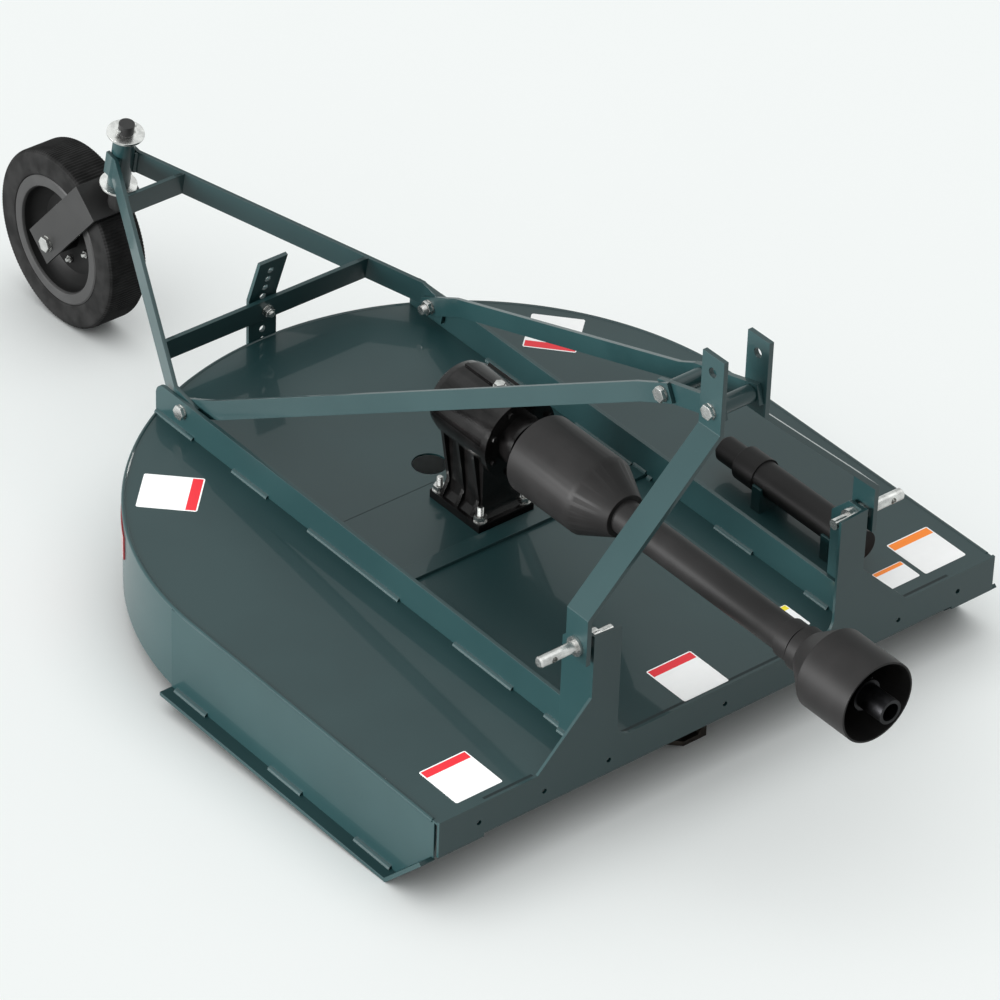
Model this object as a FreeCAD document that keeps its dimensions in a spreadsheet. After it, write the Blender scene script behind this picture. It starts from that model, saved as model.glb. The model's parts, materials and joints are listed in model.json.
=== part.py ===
# Rotary cutter on a three point hitch, with a tail wheel and a telescoping driveline.
# Machine axes: X to the right, Y forward to the tractor, Z up from the skid soles.
# The finished machine stands nose down on its skid tips and its tail wheel.
import FreeCAD, Part
import math
import os
import Sketcher

os.makedirs("parts", exist_ok=True)
doc = FreeCAD.newDocument("RotaryCutter")
sheet = doc.addObject("Spreadsheet::Sheet", "Sizes")

# Driving sizes in millimetres and degrees: name, value, what it measures
drivingSizes = [
    # Deck and skirts
    ("deckWide", 1300, "over both side skirts"),
    ("deckLong", 1368, "front face to the end of the round tail"),
    ("deckTop", 188, "sole to the deck's top"),
    ("deckThick", 4, "deck sheet"),
    ("notchDeep", 3, "gaps between the front plate's weld tabs"),
    ("skirtThick", 5, "side skirt and rear band"),
    ("seamInset", 60, "joint of skirt and band behind the arc's centre"),
    ("skirtNose", 14, "front face to the skirt's front edge"),
    ("skirtCutBack", 116, "where the sole turns up"),
    ("skirtCutHigh", 106, "top of the turned-up end"),
    ("skirtCutFront", 20, "front of the turned-up end"),
    ("accessBack", 155, "blade bolt hole behind the blade axis"),
    ("accessRadius", 34, "blade bolt hole"),
    # Front plate with both uprights in one sheet
    ("frontThick", 6, "front plate"),
    ("lipLow", 115, "lower edge at the ends"),
    ("lipMiddle", 122, "lower edge between the end steps"),
    ("lipEnd", 101, "width of the lower end piece"),
    ("frontTop", 192, "upper edge beside the uprights"),
    ("uprightWide", 63, "upright, front view"),
    ("uprightTop", 443, "upright's top"),
    ("uprightTopSlope", 4, "fall of the top edge to the inside"),
    ("flareWide", 116, "outer flare at its foot"),
    ("flareTop", 309, "height where the flare starts"),
    ("footRound", 32, "inner fillet at the upright's foot"),
    ("guardHoleRadius", 5, "chain guard holes"),
    ("guardHoleEnd", 89, "outermost chain guard hole from the plate's end"),
    ("guardHolePitch", 146, "chain guard holes apart"),
    ("guardHoleHigh", 151, "chain guard holes above the sole"),
    # Rails and upright sides
    ("railPlace", 304, "middle of a rail from the centre"),
    ("railThick", 8, "rail"),
    ("railTop", 255, "rail's top"),
    ("railInset", 75, "rail's rear end before the deck's end"),
    ("railRound", 26, "rounded rear corner"),
    ("sideThick", 8, "upright's side plate"),
    ("sideBack", 85, "rear edge of the side plate"),
    ("sideTop", 440, "top of the side plate"),
    # Skids
    ("skidOut", 27, "runner's reach outside the skirt"),
    ("skidThick", 8, "runner"),
    # Cross bar and height strap
    ("crossBack", 577, "cross bar's front edge"),
    ("crossWide", 38, "cross bar along the machine"),
    ("crossThick", 7, "cross bar"),
    ("strapWide", 66, "height strap"),
    ("strapThick", 8, "height strap"),
    ("strapBendHigh", 283, "height of the strap's bend"),
    ("strapLean", 19, "forward lean above the bend, degrees"),
    ("strapLong", 108, "length above the bend"),
    ("strapFoot", 150, "lower end on the rear band"),
    ("strapHoleRadius", 7, "height holes"),
    ("strapHolePitch", 25.4, "height holes"),
    ("strapHoleSet", 1.5, "middle hole above the bend"),
    ("strapSlip", 1, "strap clear of the tail frame as that swings"),
    # Gearbox
    ("gearBack", 695, "blade axis behind the front face"),
    ("flangeWide", 130, "gearbox foot across"),
    ("flangeLong", 146, "gearbox foot along"),
    ("flangeThick", 17, "gearbox foot"),
    ("studAcross", 104, "stud spacing across"),
    ("studAlong", 120, "stud spacing along"),
    ("studRadius", 6.5, "stud holes"),
    ("shaftHigh", 392, "driveline axis above the sole"),
    ("waistWide", 84, "gearbox pedestal across"),
    ("waistLong", 104, "gearbox pedestal along"),
    ("waistHigh", 238, "pedestal's narrowest height"),
    ("drumRadius", 75, "gearbox drum"),
    ("drumRib", 4, "ribs along the drum and the pedestal, half their width"),
    ("drumRibHigh", 4.5, "ribs beyond the drum"),
    ("drumFlange", 82, "flange at the drum's front"),
    ("drumFlangeLong", 15, "flange at the drum's front"),
    ("drumRear", 788, "drum's rear end"),
    ("drumFront", 592, "drum's front face"),
    ("noseRadius", 50, "bearing nose"),
    ("noseFront", 560, "bearing nose's front face"),
    ("outputRadius", 30, "blade shaft"),
    ("outputHole", 46, "hole in the deck round the shaft"),
    ("outputLow", 12, "output boss below the deck"),
    # Hitch pins
    ("pinBack", 25, "hitch pin axis behind the front face"),
    ("pinHigh", 419, "hitch pin axis above the sole"),
    ("pinRadius", 11.1, "lower hitch pin"),
    ("pinShoulder", 341.5, "hitch shoulder from the centre"),
    ("pinTip", 420, "pin's end from the centre"),
    ("pinInner", 257, "threaded end from the centre"),
    ("collarRadius", 19, "shoulder collar"),
    ("lynchRadius", 6, "lynch pin hole"),
    ("lynchPlace", 392, "lynch pin hole from the centre"),
    ("pinNutRadius", 17, "nut across corners, half"),
    ("pinNutLong", 18, "nut"),
    ("legSpace", 10, "between upright side and mast leg"),
    # Mast, links and braces
    ("legThick", 10, "mast leg"),
    ("legWide", 57, "mast leg along the machine"),
    ("legFoot", 30, "leg's end below the pin"),
    ("legBendLow", 487, "lower bend"),
    ("legTop", 910, "top of the mast"),
    ("legUpright", 151, "parallel upper stretch of the mast"),
    ("mastInner", 46, "inner face of the mast lug"),
    ("topHoleDown", 34, "upper hitch hole below the mast's top"),
    ("topHoleRadius", 9.7, "upper hitch hole"),
    ("boltRadius", 9.5, "mast, link and lug bolts"),
    ("mastBoltDown", 113, "bolt through mast and links below the mast's top"),
    ("linkRun", 127, "link bolt behind the mast bolt"),
    ("linkDrop", 35, "link bolt below the mast bolt"),
    ("linkThick", 10, "link"),
    ("linkWide", 40, "link"),
    ("faceGap", 0.4, "between faces that turn on one bolt"),
    ("pivotGap", 0.08, "between a bolt and what turns on it"),
    ("seatGap", 0.3, "between curved faces that lie against each other"),
    ("openPivotGap", 2.6, "round the link bolt in the braces"),
    ("braceThick", 8, "brace"),
    ("braceWide", 38, "brace"),
    ("braceTail", 22, "brace behind its lug bolt"),
    ("braceBendRear", 96, "rear bend from the lug bolt"),
    ("braceBendFront", 72, "front bend before the link bolt"),
    ("braceNose", 20, "brace past the link bolt"),
    ("spacerRadius", 16.5, "spacer tubes"),
    ("spacerWall", 3, "spacer tubes"),
    # Lug bolts that carry braces and tail frame
    ("lugInset", 158, "lug bolt before the deck's end"),
    ("lugHigh", 232, "lug bolt above the sole"),
    # Tail frame
    ("tailTilt", 11.2, "tail frame's rise to the rear, degrees"),
    ("tailThick", 8, "tail bar"),
    ("tailWide", 52, "tail bar"),
    ("tailNose", 30, "tail bar before the lug bolt"),
    ("tailBendFront", 42, "first bend behind the lug bolt"),
    ("tubeBack", 628, "caster tube behind the lug bolt"),
    ("tailGrip", 14, "bar lying along the caster tube"),
    ("tailSwing", 14, "tail frame up and down from rest, degrees"),
    ("crossTwo", 515, "rear cross bar behind the lug bolt"),
    ("tubeRadius", 22.5, "caster tube"),
    ("tubeLong", 127, "caster tube"),
    ("tubeLow", 57, "caster tube below the tail bars' axis"),
    ("spindleRadius", 16, "caster spindle"),
    ("spindleTop", 22, "spindle above the top washer"),
    ("washerRadius", 37.5, "caster washers"),
    ("washerThick", 5, "caster washers"),
    # Caster fork and tail wheel
    ("wheelTrail", 783, "wheel axis behind the lug bolt"),
    ("wheelHigh", 97, "wheel axis above the sole"),
    ("wheelRadius", 190, "tail wheel"),
    ("wheelWide", 92, "tail wheel"),
    ("rimRadius", 138, "rim's outside"),
    ("rimInner", 96, "rim's opening"),
    ("hubRadius", 28, "wheel hub"),
    ("axleRadius", 10, "axle bolt"),
    ("forkTilt", 41.1, "fork arms from upright, degrees"),
    ("forkInner", 112, "between the fork arms"),
    ("forkThick", 7, "fork strap"),
    ("forkWide", 78, "fork strap"),
    ("forkShift", 8, "strap's middle behind the axle line"),
    ("forkTail", 42, "arm past the axle"),
    ("forkClear", 9, "crown over the tyre"),
    # Driveline
    ("bellRadius", 80, "guard bells"),
    ("guardWall", 4, "guard wall"),
    ("rearBellOpen", 532, "open rim of the rear bell behind the front face"),
    ("rearBellCone", 370, "cone of the rear bell starts"),
    ("rearBellNeck", 293, "cone of the rear bell ends"),
    ("neckRadius", 43, "guard necks"),
    ("guardTubeRadius", 33, "outer guard tube"),
    ("guardTubeFront", 148, "outer guard tube's front end"),
    ("ringRadius", 38, "bearing ring"),
    ("ringStart", 150, "bearing ring"),
    ("neckStart", 188, "front guard's neck"),
    ("ringGroove", 5, "groove between ring and neck"),
    ("ringGrooveDeep", 4, "groove between ring and neck"),
    ("bearingLong", 14, "bearing that carries a guard on its shaft"),
    ("frontBellNeck", 211, "cone of the front bell starts"),
    ("frontBellCone", 262, "cone of the front bell ends"),
    ("frontBellOpen", 383, "open rim of the front bell"),
    ("slideTubeRadius", 28.4, "inner guard tube"),
    ("slideTubeWall", 3, "inner guard tube"),
    ("slideTubeRear", 140, "inner guard tube's rear end behind the front face"),
    ("shaftRadius", 15, "solid driveline shaft"),
    ("sleeveRadius", 20, "hollow driveline shaft"),
    ("yokeEnd", 416, "tractor yoke's end"),
    ("yokeHubRadius", 24, "tractor yoke's hub"),
    ("splineRadius", 17.5, "tractor yoke's bore"),
    ("yokeReach", 30, "yoke ears from the axis"),
    ("earThick", 10, "yoke ear"),
    ("earRadius", 15, "yoke ear's round end"),
    ("earBack", 34, "yoke's foot from the joint cross"),
    ("yokeFoot", 9, "plate that joins the ears"),
    ("crossRadius", 8, "joint cross"),
    ("hubBack", 70, "yoke hub's end from the joint cross"),
    ("crossPlace", 322, "front joint cross"),
    ("rearCrossPlace", 468, "rear joint cross behind the front face"),
    # Blades
    ("panRadius", 215, "blade carrier pan"),
    ("panThick", 6, "blade carrier pan"),
    ("panHigh", 44, "carrier pan's underside"),
    ("panDish", 26, "rise of the pan's rim"),
    ("panRim", 35, "width of the pan's raised rim"),
    ("bladePivot", 155, "blade bolt from the blade axis"),
    ("bladeReach", 610, "blade tip from the blade axis"),
    ("bladeWide", 76, "blade"),
    ("bladeThick", 10, "blade"),
    ("bladeHeel", 42, "blade inside its bolt"),
    ("bladeBoltRadius", 15, "blade bolt"),
    ("bladeGap", 1.5, "blade under the pan"),
    ("bladeDrop", 24, "blade's outer part below its bolt end"),
    ("crankStart", 46, "blade's crank from its bolt"),
    ("crankEnd", 88, "blade's crank from its bolt"),
    ("tipCut", 22, "cut corner at the blade's leading tip"),
    ("liftLong", 90, "turned-up trailing edge"),
    ("liftHigh", 34, "turned-up trailing edge"),
    ("liftThick", 9, "turned-up trailing edge"),
    # Document tube
    ("canPlace", 427, "document tube from the centre"),
    ("canHigh", 241, "document tube above the sole"),
    ("canRadius", 31, "document tube"),
    ("canRear", 512, "rear end behind the front face"),
    ("canFront", 120, "front end behind the front face"),
    ("capRadius", 35, "cap's collar"),
    ("capStubRadius", 26, "cap's end"),
]


class Size:
    # A size that carries the cell formula that makes it

    def __init__(self, value, formula):
        self.value = float(value)
        self.formula = formula

    def __add__(self, other):
        other = asSize(other)
        return Size(self.value + other.value, "(%s + %s)" % (self.formula, other.formula))

    def __sub__(self, other):
        other = asSize(other)
        return Size(self.value - other.value, "(%s - %s)" % (self.formula, other.formula))

    def __mul__(self, other):
        other = asSize(other)
        return Size(self.value * other.value, "(%s * %s)" % (self.formula, other.formula))

    def __truediv__(self, other):
        other = asSize(other)
        return Size(self.value / other.value, "(%s / %s)" % (self.formula, other.formula))

    def __radd__(self, other):
        return asSize(other) + self

    def __rsub__(self, other):
        return asSize(other) - self

    def __rmul__(self, other):
        return asSize(other) * self

    def __neg__(self):
        return asSize(0) - self


def asSize(item):
    if isinstance(item, Size):
        return item
    return Size(item, "(%.6f)" % item)


def halfAngleTan(side, base):
    # Tangent of half the angle whose tangent is side / base
    angle = math.atan2(side.value, base.value)
    return Size(math.tan(angle / 2), "tan(atan(%s / %s) / 2)" % (side.formula, base.formula))


def hypotenuse(a, b):
    return Size(math.hypot(a.value, b.value), "sqrt(%s * %s + %s * %s)"
                % (a.formula, a.formula, b.formula, b.formula))


def otherLeg(long, side):
    # Second short side of a right triangle from its longest side and one short side
    return Size(math.sqrt(long.value ** 2 - side.value ** 2), "sqrt(%s * %s - %s * %s)"
                % (long.formula, long.formula, side.formula, side.formula))


def sine(angle):
    return Size(math.sin(math.radians(angle.value)), "sin(%s)" % angle.formula)


def cosine(angle):
    return Size(math.cos(math.radians(angle.value)), "cos(%s)" % angle.formula)


class Sizes:
    # Every driving size by its cell name

    def __init__(self, table):
        for row, (name, value, note) in enumerate(table, start=1):
            sheet.set("A%d" % row, name)
            sheet.set("B%d" % row, str(value))
            sheet.set("C%d" % row, note)
            sheet.setAlias("B%d" % row, name)
            setattr(self, name, Size(value, "Sizes." + name))


s = Sizes(drivingSizes)
doc.recompute()

planeRoles = {"XY": "XY_Plane", "XZ": "XZ_Plane", "YZ": "YZ_Plane"}
made = []


def newBody(label, place=None):
    body = doc.addObject("PartDesign::Body", label)
    body.Label = label
    made.append((body, place or FreeCAD.Placement()))
    return body


def originPlane(body, plane):
    for feature in body.Origin.OriginFeatures:
        if feature.Role == planeRoles[plane]:
            return feature


def newSketch(body, plane, start, loops, tilt=None):
    # A loop is a circle (x, y, radius) or a list of corners (x, y) or (x, y, bow, radius):
    # the edge that leaves a corner with a bow is an arc round the bow's centre.
    # A tilt (y, z, angle) turns the plane about X through the point (y, z)
    sketch = body.newObject("Sketcher::SketchObject", "Sketch")
    sketch.AttachmentSupport = [(originPlane(body, plane), "")]
    sketch.MapMode = "FlatFace"
    pointY, pointZ, angle = tilt or (asSize(0), asSize(0), asSize(0))
    baseY = pointY - start * sine(angle)
    baseZ = pointZ + start * cosine(angle)
    sketch.AttachmentOffset = FreeCAD.Placement(FreeCAD.Vector(0, baseY.value, baseZ.value),
                                                FreeCAD.Rotation(FreeCAD.Vector(1, 0, 0), angle.value))
    sketch.setExpression("AttachmentOffset.Base.z", baseZ.formula)
    if tilt:
        sketch.setExpression("AttachmentOffset.Base.y", baseY.formula)
        sketch.setExpression("AttachmentOffset.Rotation.Angle", angle.formula)
    for loop in loops:
        if isinstance(loop, tuple):
            addCircle(sketch, *[asSize(item) for item in loop])
        else:
            addOutline(sketch, loop)
    return sketch


def pinPoint(sketch, edge, end, x, y):
    for kind, item in (("DistanceX", x), ("DistanceY", y)):
        index = sketch.addConstraint(Sketcher.Constraint(kind, edge, end, item.value))
        sketch.setExpression("Constraints[%d]" % index, item.formula)


def addCircle(sketch, x, y, radius):
    circle = Part.Circle(FreeCAD.Vector(x.value, y.value, 0), FreeCAD.Vector(0, 0, 1), radius.value)
    edge = sketch.addGeometry(circle)
    pinPoint(sketch, edge, 3, x, y)
    index = sketch.addConstraint(Sketcher.Constraint("Radius", edge, radius.value))
    sketch.setExpression("Constraints[%d]" % index, radius.formula)


def addOutline(sketch, corners):
    edges = []
    points = [(asSize(corner[0]), asSize(corner[1])) for corner in corners]
    for place, corner in enumerate(corners):
        x, y = points[place]
        nextX, nextY = points[(place + 1) % len(corners)]
        begin = FreeCAD.Vector(x.value, y.value, 0)
        finish = FreeCAD.Vector(nextX.value, nextY.value, 0)
        if len(corner) == 2:
            edge = sketch.addGeometry(Part.LineSegment(begin, finish))
            edges.append((edge, 1, 2))
            continue
        (centreX, centreY), radius = corner[2], asSize(corner[3])
        centre = FreeCAD.Vector(asSize(centreX).value, asSize(centreY).value, 0)
        turnsLeft = (begin - centre).cross(finish - centre).z > 0
        first, last = (begin, finish) if turnsLeft else (finish, begin)
        fromAngle = math.atan2(first.y - centre.y, first.x - centre.x)
        toAngle = math.atan2(last.y - centre.y, last.x - centre.x)
        circle = Part.Circle(centre, FreeCAD.Vector(0, 0, 1), radius.value)
        edge = sketch.addGeometry(Part.ArcOfCircle(circle, fromAngle, toAngle))
        index = sketch.addConstraint(Sketcher.Constraint("Radius", edge, radius.value))
        sketch.setExpression("Constraints[%d]" % index, radius.formula)
        edges.append((edge, 1, 2) if turnsLeft else (edge, 2, 1))
    for place, (edge, begin, finish) in enumerate(edges):
        nextEdge, nextBegin, nextFinish = edges[(place + 1) % len(edges)]
        sketch.addConstraint(Sketcher.Constraint("Coincident", edge, finish, nextEdge, nextBegin))
        pinPoint(sketch, edge, begin, *points[place])


def pad(body, plane, start, length, loops, tilt=None):
    # Fills the outline from start along the plane's normal; XZ points to the rear
    feature = body.newObject("PartDesign::Pad", "Pad")
    feature.Profile = newSketch(body, plane, asSize(start), loops, tilt)
    feature.setExpression("Length", asSize(length).formula)
    doc.recompute()
    return feature


def cut(body, plane, start, depth, loops):
    # Cuts the outline from start against the plane's normal
    before = body.Shape.Volume
    feature = body.newObject("PartDesign::Pocket", "Pocket")
    feature.Profile = newSketch(body, plane, asSize(start), loops)
    feature.setExpression("Length", asSize(depth).formula)
    doc.recompute()
    if body.Shape.Volume >= before - 1e-6:
        raise RuntimeError("the cut in %s removes nothing" % body.Label)
    return feature


def turn(body, plane, loops, axis="V_Axis"):
    feature = body.newObject("PartDesign::Revolution", "Revolution")
    sketch = newSketch(body, plane, asSize(0), loops)
    feature.Profile = sketch
    feature.ReferenceAxis = (sketch, [axis])
    feature.Angle = 360
    doc.recompute()
    return feature


def moved(x=0, y=0, z=0, tilt=0):
    return FreeCAD.Placement(FreeCAD.Vector(x, y, z), FreeCAD.Rotation(FreeCAD.Vector(1, 0, 0), tilt))


def box(x0, x1, y0, y1):
    return [(x0, y0), (x1, y0), (x1, y1), (x0, y1)]


sides = (("right", 1), ("left", -1))
half = s.deckWide / 2
arcBack = s.deckLong - half
seamBack = arcBack + s.seamInset
lugBack = s.deckLong - s.lugInset
wheelBack = lugBack + s.wheelTrail
topHoleHigh = s.legTop - s.topHoleDown
mastBoltHigh = s.legTop - s.mastBoltDown
linkBoltHigh = mastBoltHigh - s.linkDrop
linkBoltBack = s.pinBack + s.linkRun
skirtInside = half - s.skirtThick
deckUnder = s.deckTop - s.deckThick
railInner = s.railPlace - s.railThick / 2
railOuter = s.railPlace + s.railThick / 2
uprightOuter = railOuter + s.sideThick


def deckPlate():
    body = newBody("deck_plate")
    arc = ((0, -arcBack), half)
    # The outline starts at the front left corner and runs round the tail
    outline = [(-half, -s.frontThick), (-half, -arcBack, *arc), (0, -(arcBack + half), *arc),
               (half, -arcBack), (half, -s.frontThick)]
    # Gaps in the front edge between the weld tabs: right end, left end
    for right, left in ((543, 434), (250, 105), (-3, -250), (-433, -543)):
        outline += [(right, -s.frontThick), (right, -(s.frontThick + s.notchDeep)),
                    (left, -(s.frontThick + s.notchDeep)), (left, -s.frontThick)]
    holes = [(0, -(s.gearBack + s.accessBack), s.accessRadius), (0, -s.gearBack, s.outputHole)]
    pad(body, "XY", deckUnder, s.deckThick, [outline] + holes)


def frontPlate():
    body = newBody("front_plate")
    lipStep = half - s.lipEnd
    inner = uprightOuter - s.uprightWide
    foot = inner - s.footRound
    footTop = s.frontTop + s.footRound
    outline = [(0, s.lipMiddle), (lipStep, s.lipMiddle), (lipStep, s.lipLow), (half, s.lipLow),
               (half, s.frontTop), (uprightOuter + s.flareWide, s.frontTop), (uprightOuter, s.flareTop),
               (uprightOuter, s.uprightTop), (inner, s.uprightTop - s.uprightTopSlope),
               (inner, footTop, (foot, footTop), s.footRound), (foot, s.frontTop)]
    mirrored = [(-x, z) for x, z in [corner[:2] for corner in outline[1:]]]
    leftSide = list(reversed(mirrored))
    leftSide[0] = (*leftSide[0], (-foot, footTop), s.footRound)
    holes = [(0, s.guardHoleHigh, s.guardHoleRadius)]
    for number in range(3):
        place = half - s.guardHoleEnd - number * s.guardHolePitch
        holes += [(place, s.guardHoleHigh, s.guardHoleRadius), (-place, s.guardHoleHigh, s.guardHoleRadius)]
    pad(body, "XZ", 0, s.frontThick, [outline + leftSide] + holes)


def skirts():
    for word, side in sides:
        body = newBody("side_skirt_" + word)
        start = skirtInside if side > 0 else -half
        outline = [(-seamBack, s.skidThick), (-s.skirtCutBack, s.skidThick), (-s.skirtCutFront, s.skirtCutHigh),
                   (-s.skirtNose, s.skirtCutHigh), (-s.skirtNose, deckUnder), (-seamBack, deckUnder)]
        pad(body, "YZ", start, s.skirtThick, [outline])
    body = newBody("rear_band")
    reach = seamBack - arcBack
    outerX = otherLeg(half, reach)
    innerX = otherLeg(skirtInside, reach)
    centre = (0, -arcBack)
    outline = [(outerX, -seamBack, centre, half), (0, -(arcBack + half), centre, half),
               (-outerX, -seamBack), (-innerX, -seamBack, centre, skirtInside),
               (0, -(arcBack + skirtInside), centre, skirtInside), (innerX, -seamBack)]
    pad(body, "XY", s.skidThick, deckUnder - s.skidThick, [outline])


def skids():
    for word, side in sides:
        body = newBody("skid_" + word)
        start = skirtInside if side > 0 else -(half + s.skidOut)
        rise = s.skirtCutHigh - s.skidThick
        run = s.skirtCutBack - s.skirtCutFront
        bend = s.skidThick * halfAngleTan(rise, run)
        slope = hypotenuse(rise, run)
        outX = s.skidThick * rise / slope
        outZ = s.skidThick * run / slope
        outline = [(-seamBack, 0), (-s.skirtCutBack + bend, 0),
                   (-s.skirtCutFront + outX, s.skirtCutHigh - outZ), (-s.skirtCutFront, s.skirtCutHigh),
                   (-s.skirtCutBack, s.skidThick), (-seamBack, s.skidThick)]
        pad(body, "YZ", start, s.skirtThick + s.skidOut, [outline])


def rails():
    railBack = s.deckLong - s.railInset
    for word, side in sides:
        body = newBody("rail_" + word)
        start = railInner if side > 0 else -railOuter
        outline = [(-railBack, s.deckTop), (-s.frontThick, s.deckTop), (-s.frontThick, s.railTop),
                   (-(railBack - s.railRound), s.railTop,
                    (-(railBack - s.railRound), s.railTop - s.railRound), s.railRound),
                   (-railBack, s.railTop - s.railRound)]
        pad(body, "YZ", start, s.railThick, [outline, (-lugBack, s.lugHigh, s.boltRadius)])
        body = newBody("upright_side_" + word)
        start = railOuter if side > 0 else -uprightOuter
        outline = [(-s.sideBack, s.deckTop), (-s.frontThick, s.deckTop), (-s.frontThick, s.sideTop),
                   (-s.sideBack * 0.5, s.sideTop), (-s.sideBack, s.sideTop - s.sideBack * 0.5)]
        pad(body, "YZ", start, s.sideThick, [outline, (-s.pinBack, s.pinHigh, s.pinRadius + s.pivotGap)])
    body = newBody("cross_member")
    pad(body, "XY", s.deckTop, s.crossThick,
        [box(-railInner, railInner, -(s.crossBack + s.crossWide), -s.crossBack)])


def heightStrap():
    # Stands on the rear band, behind the tail frame's front cross bar, and leans forward at the top
    body = newBody("height_strap")
    lean = s.strapLean
    back = strapFace
    shift = s.strapThick * sine(lean / 2) / cosine(lean / 2)
    reach = s.strapLong * sine(lean)
    rise = s.strapLong * cosine(lean)
    outline = [(-back, s.strapFoot), (-back, s.strapBendHigh), (-back + reach, s.strapBendHigh + rise),
               (-back + reach - s.strapThick * cosine(lean), s.strapBendHigh + rise + s.strapThick * sine(lean)),
               (-(back + s.strapThick), s.strapBendHigh + shift), (-(back + s.strapThick), s.strapFoot)]
    pad(body, "YZ", -s.strapWide / 2, s.strapWide, [outline])
    holes = []
    for number in range(-4, 4):
        along = s.strapHoleSet + number * s.strapHolePitch
        high = along * cosine(lean) if number > 0 else along
        holes.append((0, s.strapBendHigh + high, s.strapHoleRadius))
    cut(body, "XZ", back + s.strapThick * 2, s.strapThick * 3 + reach, holes)


def gearbox():
    body = newBody("gearbox_housing")
    foot = box(-s.flangeWide / 2, s.flangeWide / 2, -(s.gearBack + s.flangeLong / 2),
               -(s.gearBack - s.flangeLong / 2))
    studs = [(x * s.studAcross / 2, -(s.gearBack + y * s.studAlong / 2), s.studRadius)
             for x in (1, -1) for y in (1, -1)]
    pad(body, "XY", s.deckTop, s.flangeThick, [foot] + studs)
    # Pedestal flares from its waist to the foot and to the drum
    loft = body.newObject("PartDesign::AdditiveLoft", "Pedestal")
    footTop = s.deckTop + s.flangeThick
    drumLow = s.shaftHigh - s.drumRadius * 0.6
    sections = []
    for high, wide, long in ((footTop, s.waistWide + 30, s.waistLong + 24), (footTop + 12, s.waistWide + 8, s.waistLong + 8),
                             (s.waistHigh, s.waistWide, s.waistLong), (drumLow, s.waistWide + 20, s.waistLong + 24)):
        section = box(-wide / 2, wide / 2, -(s.gearBack + long / 2), -(s.gearBack - long / 2))
        sections.append(newSketch(body, "XY", asSize(high), [section]))
    loft.Profile = sections[0]
    loft.Sections = sections[1:]
    loft.Ruled = True
    doc.recompute()
    # Webs across the pedestal, and along its middle
    webFoot = s.flangeWide / 2 - s.drumRib
    webTop = s.drumRadius * 0.86
    web = [(-webFoot, footTop - 1), (webFoot, footTop - 1), (webFoot, footTop + s.drumRib),
           (s.waistWide / 2 + s.drumRib, s.waistHigh), (webTop, s.shaftHigh - s.drumRadius * 0.45),
           (-webTop, s.shaftHigh - s.drumRadius * 0.45), (-(s.waistWide / 2 + s.drumRib), s.waistHigh),
           (-webFoot, footTop + s.drumRib)]
    for back in (s.gearBack - s.waistLong * 0.42, s.gearBack, s.gearBack + s.waistLong * 0.42):
        pad(body, "XZ", back - s.drumRib, s.drumRib * 2, [web])
    outline = [(0, -s.drumRear), (s.drumRadius * 0.5, -s.drumRear), (s.drumRadius * 0.78, -(s.drumRear - 8)),
               (s.drumRadius * 0.94, -(s.drumRear - 20)), (s.drumRadius, -(s.drumRear - 38)),
               (s.drumRadius, -(s.drumFront + s.drumFlangeLong)), (s.drumFlange, -(s.drumFront + s.drumFlangeLong)),
               (s.drumFlange, -s.drumFront), (s.noseRadius, -s.drumFront),
               (s.noseRadius, -s.noseFront), (0, -s.noseFront)]
    turnAtShaft(body, outline)
    # Ribs along the drum: angle from the right side, degrees
    for angle in (0, 45, 90, 135, 180):
        turnCos = math.cos(math.radians(angle))
        turnSin = math.sin(math.radians(angle))
        low = s.drumRadius * 0.8
        high = s.drumRadius + s.drumRibHigh
        corners = [(low, -s.drumRib), (high, -s.drumRib), (high, s.drumRib), (low, s.drumRib)]
        rib = [(out * turnCos - across * turnSin, s.shaftHigh + out * turnSin + across * turnCos)
               for out, across in corners]
        pad(body, "XZ", s.drumFront + s.drumFlangeLong - 1, s.drumRear - s.drumFront - s.drumFlangeLong - 36, [rib])
    # Boss down through the deck, bored for the blade shaft
    bossLow = deckUnder - s.outputLow
    pad(body, "XY", bossLow, s.deckTop - bossLow, [(0, -s.gearBack, s.outputHole - s.seatGap)])
    shaftTop = s.deckTop + s.flangeThick
    cut(body, "XY", shaftTop, shaftTop - bossLow, [(0, -s.gearBack, s.outputRadius + s.pivotGap)])


def turnAtShaft(body, outline):
    # Turns an outline of (radius, place along the machine) about the driveline axis
    feature = body.newObject("PartDesign::Revolution", "Revolution")
    lifted = [(radius, place) for radius, place in outline]
    sketch = newSketch(body, "XY", s.shaftHigh, [lifted])
    feature.Profile = sketch
    feature.ReferenceAxis = (sketch, ["V_Axis"])
    feature.Angle = 360
    doc.recompute()
    return feature


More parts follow.
